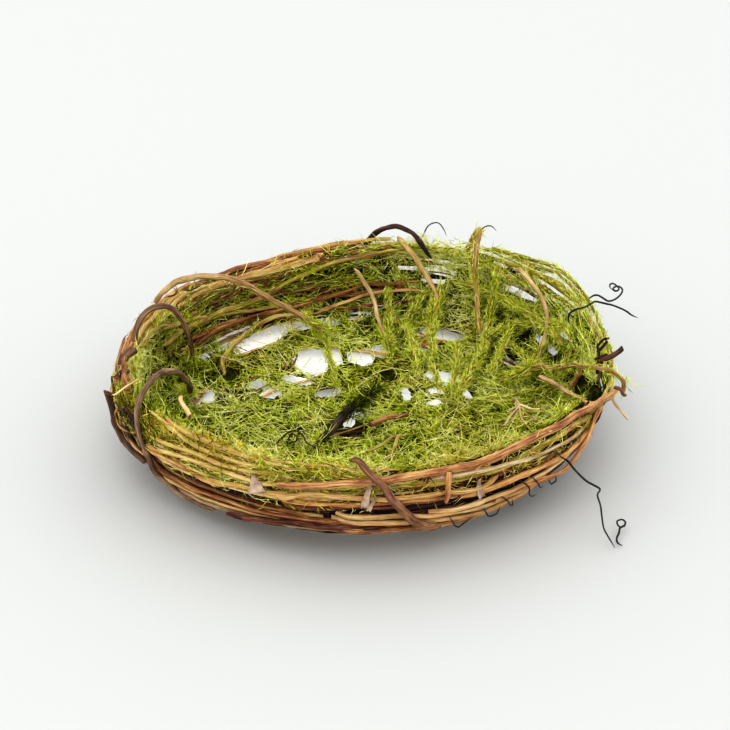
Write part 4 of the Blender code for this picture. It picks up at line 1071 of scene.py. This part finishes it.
def tufts(angle, up, each, out, length, tone, straw, rise=(0.0, 0.6), fan=0.5, heading=None):
    """Tufts of short threads that fan out from one place, each tuft with a tone of its own."""
    count = len(angle)
    turn = chance.uniform(0, 2 * math.pi, count) if heading is None else heading
    tuft = np.repeat(np.arange(count), each)
    around = np.maximum(8.0, np.interp(up, WALL_UP, WALL_RADIUS) + np.minimum(up, 0))[tuft]
    return threads(angle[tuft] + np.degrees(chance.normal(0, 1.0, len(tuft)) / around),
                   up[tuft] + chance.normal(0, 1.0, len(tuft)), out, length, (0.11, 0.17), rise,
                   tone + chance.normal(0, 0.14, count)[tuft], straw + chance.normal(0, 0.15, count)[tuft],
                   turn[tuft] + chance.normal(0, fan, len(tuft)), curl=0.35)


def sprigs(angle, up, out, stem, leaf, tone, straw):
    """Small feathery sprigs: a curved stem along the moss with leaflets on both sides of it."""
    stems = threads(angle, up, out, stem, (0.13, 0.18), (0.0, 0.25), tone, straw, curl=0.35)
    here, way, bends, lengths = stems[:4]
    leaflets = []
    for step in range(12):
        t = chance.uniform(0.08, 0.98, len(here))
        root = here + (way * t[:, None] + bends * (t * t)[:, None]) * lengths[:, None]
        ahead = unit(way + 2 * bends * t[:, None])
        aside = unit(np.cross(ahead, unit(here * (1, 1, 0.2) - (AXIS_X, AXIS_Y, 40.0))))
        sign = (-1.0) ** step
        leaf_way = unit(ahead * 0.9 + aside * sign + chance.normal(0, 0.25, here.shape))
        leaflets.append([root, leaf_way, ahead * 0.3 + chance.normal(0, 0.15, here.shape),
                         chance.uniform(leaf[0], leaf[1], len(here)) * (1.2 - 0.6 * t),
                         chance.uniform(0.11, 0.16, len(here)),
                         stems[5] + chance.normal(0.03, 0.08, len(here)), stems[6]])
    return join([stems] + leaflets)


def join(parts):
    return [np.concatenate(column) for column in zip(*parts)]


def keep(rows, chosen):
    return [row[chosen] for row in rows]


def clear_of_holes(rows):
    here, way, curl, lengths = rows[:4]
    crossing = np.zeros(len(here), bool)
    ragged = chance.uniform(0.55, 1.1, len(here))
    for t in (0.0, 0.33, 0.66, 1.0):
        place = here + (way * t + curl * t * t) * lengths[:, None]
        crossing |= np.minimum(hole_depth(place), hole_depth(place, HOLLOWS)) < ragged
    return keep(rows, ~crossing | (chance.uniform(size=len(here)) < 0.02))


def inside(rows, past=0.3, crest=5.6):
    """The threads whose tips stay within the wall and under the rim's crest."""
    here, way, curl, lengths = rows[:4]
    tip = here + (way + curl) * lengths[:, None]
    height = tip[:, 2]
    x = tip[:, 0] - AXIS_X + FOOT_SHIFT * (1.0 - height / RIM_HEIGHT)
    y = tip[:, 1] - AXIS_Y
    angle = np.degrees(np.arctan2(y, x))
    share = np.maximum(0.0, height - LEVEL_FOOT) / (RIM_HEIGHT - LEVEL_FOOT)
    bulge = sum(swell(angle, middle, half) * size for middle, half, size in WALL_SWELLS)
    rise = sum(swell(angle, middle, half) * size for middle, half, size in RIM_SWELLS)
    wall = np.interp(height, WALL_HEIGHT, WALL_RADIUS) + bulge * share
    under_crest = height < RIM_HEIGHT + crest + 1.2 * rise
    return keep(rows, (np.hypot(x, y) < wall + past) & under_crest & (height > 1.0))


def make_mat():
    """The felted sheet under the moss, dark with painted shade: a grid bent to the shell, lumpy, with ragged
    holes, thickened.
    """
    rings, steps = 60, 150
    shape = bmesh.new()
    made = bmesh.ops.create_grid(shape, x_segments=steps, y_segments=rings, size=1.0)["verts"]
    angle, up = np.meshgrid(np.linspace(0, 360, steps + 1), np.linspace(-49.0, 34.0, rings + 1))
    top = 29.0 + 6.5 * (1.0 - swell(angle, 135, 62)) - 4.0 * swell(angle, 28, 26)
    up = np.where(up > 0, up * top / 34.0, up)
    lump = np.abs(chance.normal(0, 0.45, angle.shape))
    lump[:, -1] = lump[:, 0]
    rows = shell(angle, up, -3.0 - lump)
    thin = patchwork(500, 0.0, 1.0)(angle, up)
    bare = swell(angle, 130, 44) * np.interp(up, (0, 6, 33), (0.0, 0.6, 0.75))
    open_back = swell(angle, 50, 45) * np.interp(up, (-30, 0, 26, 36), (0.1, 0.1, 0.12, 0.45))
    gone = (thin < 0.10 + 0.5 * np.maximum(bare, open_back)) & (np.maximum(bare, open_back) > 0.08)
    gone |= hole_depth(rows) < 1.25
    gone[:, -1] = gone[:, 0]
    for vert, place in zip(made, (rows * MM).reshape(-1, 3).tolist()):
        vert.co = place
    doomed = [vert for vert, lost in zip(made, gone.reshape(-1).tolist()) if lost]
    bmesh.ops.delete(shape, geom=doomed, context="VERTS")
    bmesh.ops.remove_doubles(shape, verts=shape.verts, dist=MAT_WELD)
    bmesh.ops.recalc_face_normals(shape, faces=shape.faces)
    for face in shape.faces:
        face.smooth = True
    mesh = bpy.data.meshes.new("moss_mat_painted_shade")
    shape.to_mesh(mesh)
    shape.free()
    piece = finish_piece("moss_mat_painted_shade", mesh, (MAT,), ("moss_lining",))
    wall = piece.modifiers.new("mat thickness", "SOLIDIFY")
    wall.thickness = MAT_WALL
    wall.offset = 0.0


def either_way(spread, count):
    """Headings round the nest one way or the other, spread out by that much."""
    return chance.normal(0, spread, count) + math.pi * chance.integers(0, 2, count)


def make_moss():
    """Moss on the floor, the wall and the rim, long pale threads over it, and wisps on the coils."""
    def floor_spots(count):
        return chance.uniform(0, 360, count), np.sqrt(chance.uniform(0, 1, count)) * 52.0 - FOOT_RADIUS

    def wall_spots(count, least=0.0):      # thinly at the back left, which is nearly bare
        angle, up = chance.uniform(0, 360, count), chance.uniform(0, 35, count)
        bare = swell(angle, 130, 44) * np.interp(up, (2, 10, 33), (0.2, 0.6, 0.7))
        open_back = swell(angle, 50, 40) * 0.12
        chosen = chance.uniform(size=count) > np.maximum(bare, open_back) - least
        return angle[chosen], up[chosen]

    # the floor: feathery sprigs and tufts, short threads under them, a few long pale ones over them
    rows = join([sprigs(*floor_spots(420), (-6.0, -4.2), (5, 10), (1.8, 3.6), 0.5, -0.1),
                 tufts(*floor_spots(1150), 12, (-6.4, -3.6), (1.8, 5.0), 0.5, -0.05, rise=(0.05, 0.8)),
                 threads(*floor_spots(2600), (-5.0, -3.2), (2.5, 5.5), (0.13, 0.19), (0.0, 0.5), 0.4, 0.05)])
    lay_strands("moss_floor", clear_of_holes(rows))
    rows = threads(*floor_spots(1100), (-7.0, -5.2), (6, 15), (0.09, 0.15), (0.0, 0.15), 0.72, 0.15,
                   curl=0.25)
    lay_strands("moss_floor_straws", clear_of_holes(rows), LONG_THREAD)
    # the wall, in two halves
    rows = join([sprigs(*wall_spots(520), (-6.0, -4.0), (4, 9), (1.6, 3.2), 0.5, 0.0),
                 tufts(*wall_spots(2100), 12, (-6.4, -3.6), (1.8, 5.0), 0.5, 0.0, rise=(0.0, 0.6)),
                 threads(*wall_spots(4200), (-5.0, -3.2), (2.5, 5.5), (0.13, 0.19), (-0.1, 0.4), 0.4, 0.1)])
    rows = inside(clear_of_holes(rows), crest=4.4)
    half = rows[0][:, 0] > 0
    lay_strands("moss_wall_right", keep(rows, half))
    lay_strands("moss_wall_left", keep(rows, ~half))
    angle, up = wall_spots(1500, 0.1)
    rows = threads(angle, up, (-7.0, -5.2), (5, 14), (0.09, 0.15), (-0.05, 0.1), 0.74, 0.2,
                   heading=either_way(0.7, len(angle)), curl=0.22)
    lay_strands("moss_wall_straws", inside(clear_of_holes(rows)), LONG_THREAD)
    # over the rim, combed round it
    count = 900
    angle = chance.uniform(-180, 180, count)
    angle = angle[chance.uniform(size=count) > swell(angle, 130, 45) * 0.85 + swell(angle, 26, 34) * 0.5]
    low = 6.0 * np.clip(2.0 * swell(angle, 26, 26), 0.0, 1.0)
    rows = tufts(angle, chance.uniform(29.5, 36.0, len(angle)) - low, 12, (-6.4, -2.0), (2.5, 6.5), 0.62, 0.1,
                 rise=(0.0, 0.2), fan=0.25,
                 heading=either_way(0.35, len(angle)))
    rows[3] *= 1.0 - 0.45 * np.repeat(swell(angle, 22, 40), 12)
    lay_strands("moss_rim", clear_of_holes(inside(rows)))
    # wisps that lie on the coils, most of them at the front left
    angle = np.concatenate([chance.uniform(-164, -88, 470), chance.uniform(-20, 205, 170),
                            chance.uniform(-88, -30, 80)])
    up = np.concatenate([chance.triangular(25, 37, 38, 470), chance.uniform(8, 34, 170),
                         chance.uniform(28, 35.5, 80)])
    rows = tufts(angle, up, 9, (-1.4, 1.7), (2.0, 6.5), 1.0, 0.72, rise=(-0.2, 0.3),
                 heading=either_way(0.5, len(angle)))
    lay_strands("moss_wisps", inside(rows, 1.6))


def fuzz(route, density, length, radius, tone, stand=0.6):
    """Threads that lie along a mossy length and stand a little off it."""
    route = smooth_route(route, 0.5)
    count = max(4, int(len(route) * density))
    pick = chance.integers(0, len(route) - 1, count)
    ahead = unit(np.gradient(route, axis=0))[pick]
    off = unit(chance.normal(size=(count, 3)))
    way = unit(ahead * chance.choice((-1.0, 1.0), (count, 1)) + off * chance.uniform(0.2, stand, (count, 1)))
    return [route[pick] + off * radius, way, chance.normal(0, 0.25, (count, 3)),
            chance.uniform(*length, count), chance.uniform(0.1, 0.16, count),
            chance.normal(tone, 0.16, count),
            np.clip(chance.normal(0.1, 0.25, count), 0, 1)]


# radius, outside the wall's face, and the (angle, up) places of the lengths wrapped in moss
ROPES = (
    (1.2, -8, ((67.2, 20.9), (67.7, 12.8), (66.2, 3.3), (59.5, -10.5), (48.9, -19.3))),
    (0.9, -8, ((66, 18.2), (65.2, 8.6), (60.1, -7))),
    (1.5, -8.5, ((50.5, 31.6), (49.1, 18.2), (43.2, 2.7), (35.1, -8.6), (24.5, -17.1), (2, -24.9))),
    (1, -9, ((37.1, 10), (33.7, 1.3), (20.1, -11.9))),
    (1.2, -8, (
        (43.6, 3.1), (41.3, 9.7), (37.5, 15.1), (31.1, 21.1), (23.7, 26.8), (16.2, 30), (10.6, 28.1))),
    (0.9, -8, ((36, 6.4), (28.2, 5.4), (20.5, 4.9))),
    (1.1, -9.5, ((9, 8.6), (-4.6, 15.4), (-14, 20))),
    (0.9, -8, ((71.1, 16.8), (72.7, 8.9), (73.3, 3.3))),
    (0.8, -8, ((61.8, -22.2), (60.4, -20.4), (53.6, -20.8), (32.6, -26.4), (15.2, -28.5))),
    (1, -2, (
        (58.9, 35.3), (53.5, 36.3), (48.9, 36.8), (40.3, 38.4), (35, 39.5), (28.5, 39.8), (21.4, 39.6),
        (15.6, 39.4), (8.5, 38.4), (1.3, 37.2), (-4.6, 36))),
    (0.8, -2.6, ((50, 35.4), (42, 36.9), (35, 38.2), (28.5, 38.6), (21.4, 38.4), (14, 37.8))),
    (1, -4.2, ((44, 34), (38.5, 36), (33.5, 36.9), (28.4, 37.6), (22, 37.9), (15, 37.8), (8, 37.4))),
    (0.9, -4.6, ((42, 32), (37, 33), (31.5, 32.4), (26, 34), (20.5, 34.8), (14, 35))),
    (0.8, -3.4, ((8, 36), (0, 35.6), (-8, 35.4), (-14, 34.8))),
    (0.9, -6, ((55.8, 31.8), (50.3, 30.9), (44.8, 31.2), (36.2, 31.8))),
    (0.9, -6.5, ((92, 36), (84, 37), (75, 35.5), (66, 36.5))),
    (0.8, -8, ((105, -10.6), (107.9, -19.9), (113.6, -31.9), (125.3, -40.2))),
    (1, -8, ((83.1, 18.8), (80.9, 5.2), (78.9, -9.8))))


def make_ropes(routes):
    """Lengths wrapped in moss: the plainly seen ones, a net of thinner ones, and the part's mossy vines."""
    shape, parts = new_shape(), []
    for radius, out, places in ROPES:
        route = add_stem(shape, level(places, out), 0.62 * radius, LOOKS["olive"],
                         sides=7, spacing=1.6, cut=False)
        if out > -7.0:       # those of the rim are nearly bare
            parts.append(fuzz(route, 3.5 * radius, (1.5, 3.5), radius * 0.6, 0.66, stand=0.3))
        else:
            parts.append(fuzz(route, 9.0 * radius, (1.5, 3.8), radius * 0.6, 0.62))
    for _ in range(34):      # round the back right rim
        route = ring_route(chance.uniform(-15, 45), chance.uniform(15, 40), chance.uniform(31, 37.0),
                           chance.uniform(-5.5, -1.0), rise=chance.uniform(-3, 3))
        if clearance(route, 1.0) >= 1.3:
            route = add_stem(shape, route, chance.uniform(0.3, 0.55), LOOKS["olive"], sides=6, spacing=2.0,
                             cut=False)
            parts.append(fuzz(route, 1.3, (1.5, 3.5), 0.4, 0.7, stand=0.25))
    for _ in range(34):      # a net down the wall and over the floor
        angle, turn = chance.uniform(-40, 110), chance.uniform(-25, 25)
        top, bottom = chance.uniform(5, 30), chance.uniform(-35, 0)
        route = shell(np.linspace(angle, angle + turn, 7) + ripple(7, 1.0, 1.5), np.linspace(top, bottom, 7),
                      chance.uniform(-7.5, -5.5))
        if clearance(route, 1.0) >= 1.0:
            route = add_stem(shape, route, chance.uniform(0.3, 0.5), LOOKS["olive"], sides=6, spacing=2.0,
                             cut=False)
            parts.append(fuzz(route, 3.0, (1.5, 3.6), 0.4, 0.6))
    # tufts on the bare vines
    for angle, up in ((150, 24), (140, 20), (128, 20), (118, 27), (105, 31), (158, 29), (96, 22), (112, 14)):
        route = ring_route(angle - 8, 16, up, MOSS_FACE - 0.6, rise=chance.uniform(-2, 2))
        parts.append(fuzz(route, 4.0, (1.5, 5.0), 0.7, 0.5, stand=0.9))
    finish_stems(shape, "moss_ropes", ())
    for name, density in (("spoke_5", 6.0), ("spoke_6", 6.0), ("rim_arch", 2.2), ("spoke_3", 2.0),
                          ("loop_vine_tan", 0.25)):
        parts.append(fuzz(routes[name], density, (2.0, 4.5), 0.8, 0.62))
    # moss closes over the ends that stand in it
    for name, first, last in (("loop_vine_tan", -16, None), ("loop_vine_purple", -9, None),
                              ("loop_vine_grey", 0, 9), ("spoke_1", -9, None), ("spoke_2", -7, None),
                              ("spoke_4", -5, None), ("rim_arch", 0, 14), ("floor_twig_dark", 0, 5)):
        parts.append(fuzz(routes[name][first:last], 12.0, (2.0, 5.0), 1.0, 0.55, stand=1.0))
    angle, up = np.array(INNER_LENGTHS[3][2], float).T      # along the mossy inner vine
    parts.append(fuzz(shell(angle, up, MOSS_FACE - 1.6), 7.0, (2.0, 4.5), 0.9, 0.6, stand=0.7))
    far_end = np.vstack([routes["floor_twig_dark"][-8:], lay((free, (131.2, 2.5, 8.6), (80, 6, 8.4)))])
    parts.append(fuzz(far_end, 16.0, (2.0, 5.0), 1.0, 0.05, stand=0.8))
    lay_strands("moss_fuzz", join(parts), nodes=())


# ---------------------------------------------------------------- floor, lights and camera
def make_stage():
    shape = bmesh.new()
    bmesh.ops.create_grid(shape, x_segments=1, y_segments=1, size=FLOOR_SIZE)
    bmesh.ops.translate(shape, verts=shape.verts, vec=(0.0, 0.0, -FLOOR_DROP))
    mesh = bpy.data.meshes.new("floor")
    shape.to_mesh(mesh)
    shape.free()
    mesh.materials.append(painted_board())
    floor = bpy.data.objects.new("floor", mesh)
    bpy.context.scene.collection.objects.link(floor)


def aim(thing, place, target):
    thing.location = place
    thing.rotation_euler = (Vector(target) - Vector(place)).to_track_quat("-Z", "Y").to_euler()


def add_lamp(name, place, size, power):
    light = bpy.data.lights.new(name, "AREA")
    light.shape = "DISK"
    light.size = size
    light.energy = power
    lamp = bpy.data.objects.new(name, light)
    bpy.context.scene.collection.objects.link(lamp)
    aim(lamp, place, (place[0], place[1], 0.0) if place[2] < 0.01 else (0.0, 0.0, 0.02))


def make_light_and_camera():
    add_lamp("window_light", (-1.1, 1.6, 1.1), 2.6, 1.4)
    add_lamp("top_light", (-0.2, 0.0, 1.4), 2.2, 1.95)
    add_lamp("front_fill", (-0.3, -1.3, 0.7), 2.4, 4.6)
    add_lamp("light_through_the_weave", (-0.006, 0.004, 0.0028), 0.116, 0.036)
    world = bpy.data.worlds.new("studio")
    bpy.context.scene.world = world
    world.use_nodes = True
    world.node_tree.nodes["Background"].inputs["Color"].default_value = linear("F4F6F8")
    world.node_tree.nodes["Background"].inputs["Strength"].default_value = 1.15
    eye = bpy.data.cameras.new("camera")
    eye.lens = CAMERA_LENS
    eye.sensor_width = CAMERA_SENSOR
    camera = bpy.data.objects.new("camera", eye)
    bpy.context.scene.collection.objects.link(camera)
    aim(camera, (EYE * MM).tolist(), [place * MM for place in LOOK_AT])
    bpy.context.scene.camera = camera
    bpy.context.scene.view_settings.view_transform = "Standard"
    bpy.context.scene.view_settings.look = "High Contrast"


make_base()
make_coils()
make_rim()
make_inner()
ROUTES = make_free_vines()
make_tendrils()
make_hooks()
make_flakes()
make_wall_twigs()
make_rim_twigs()
make_inner_twigs()
make_mat()
make_moss()
make_ropes(ROUTES)
make_stage()
make_light_and_camera()
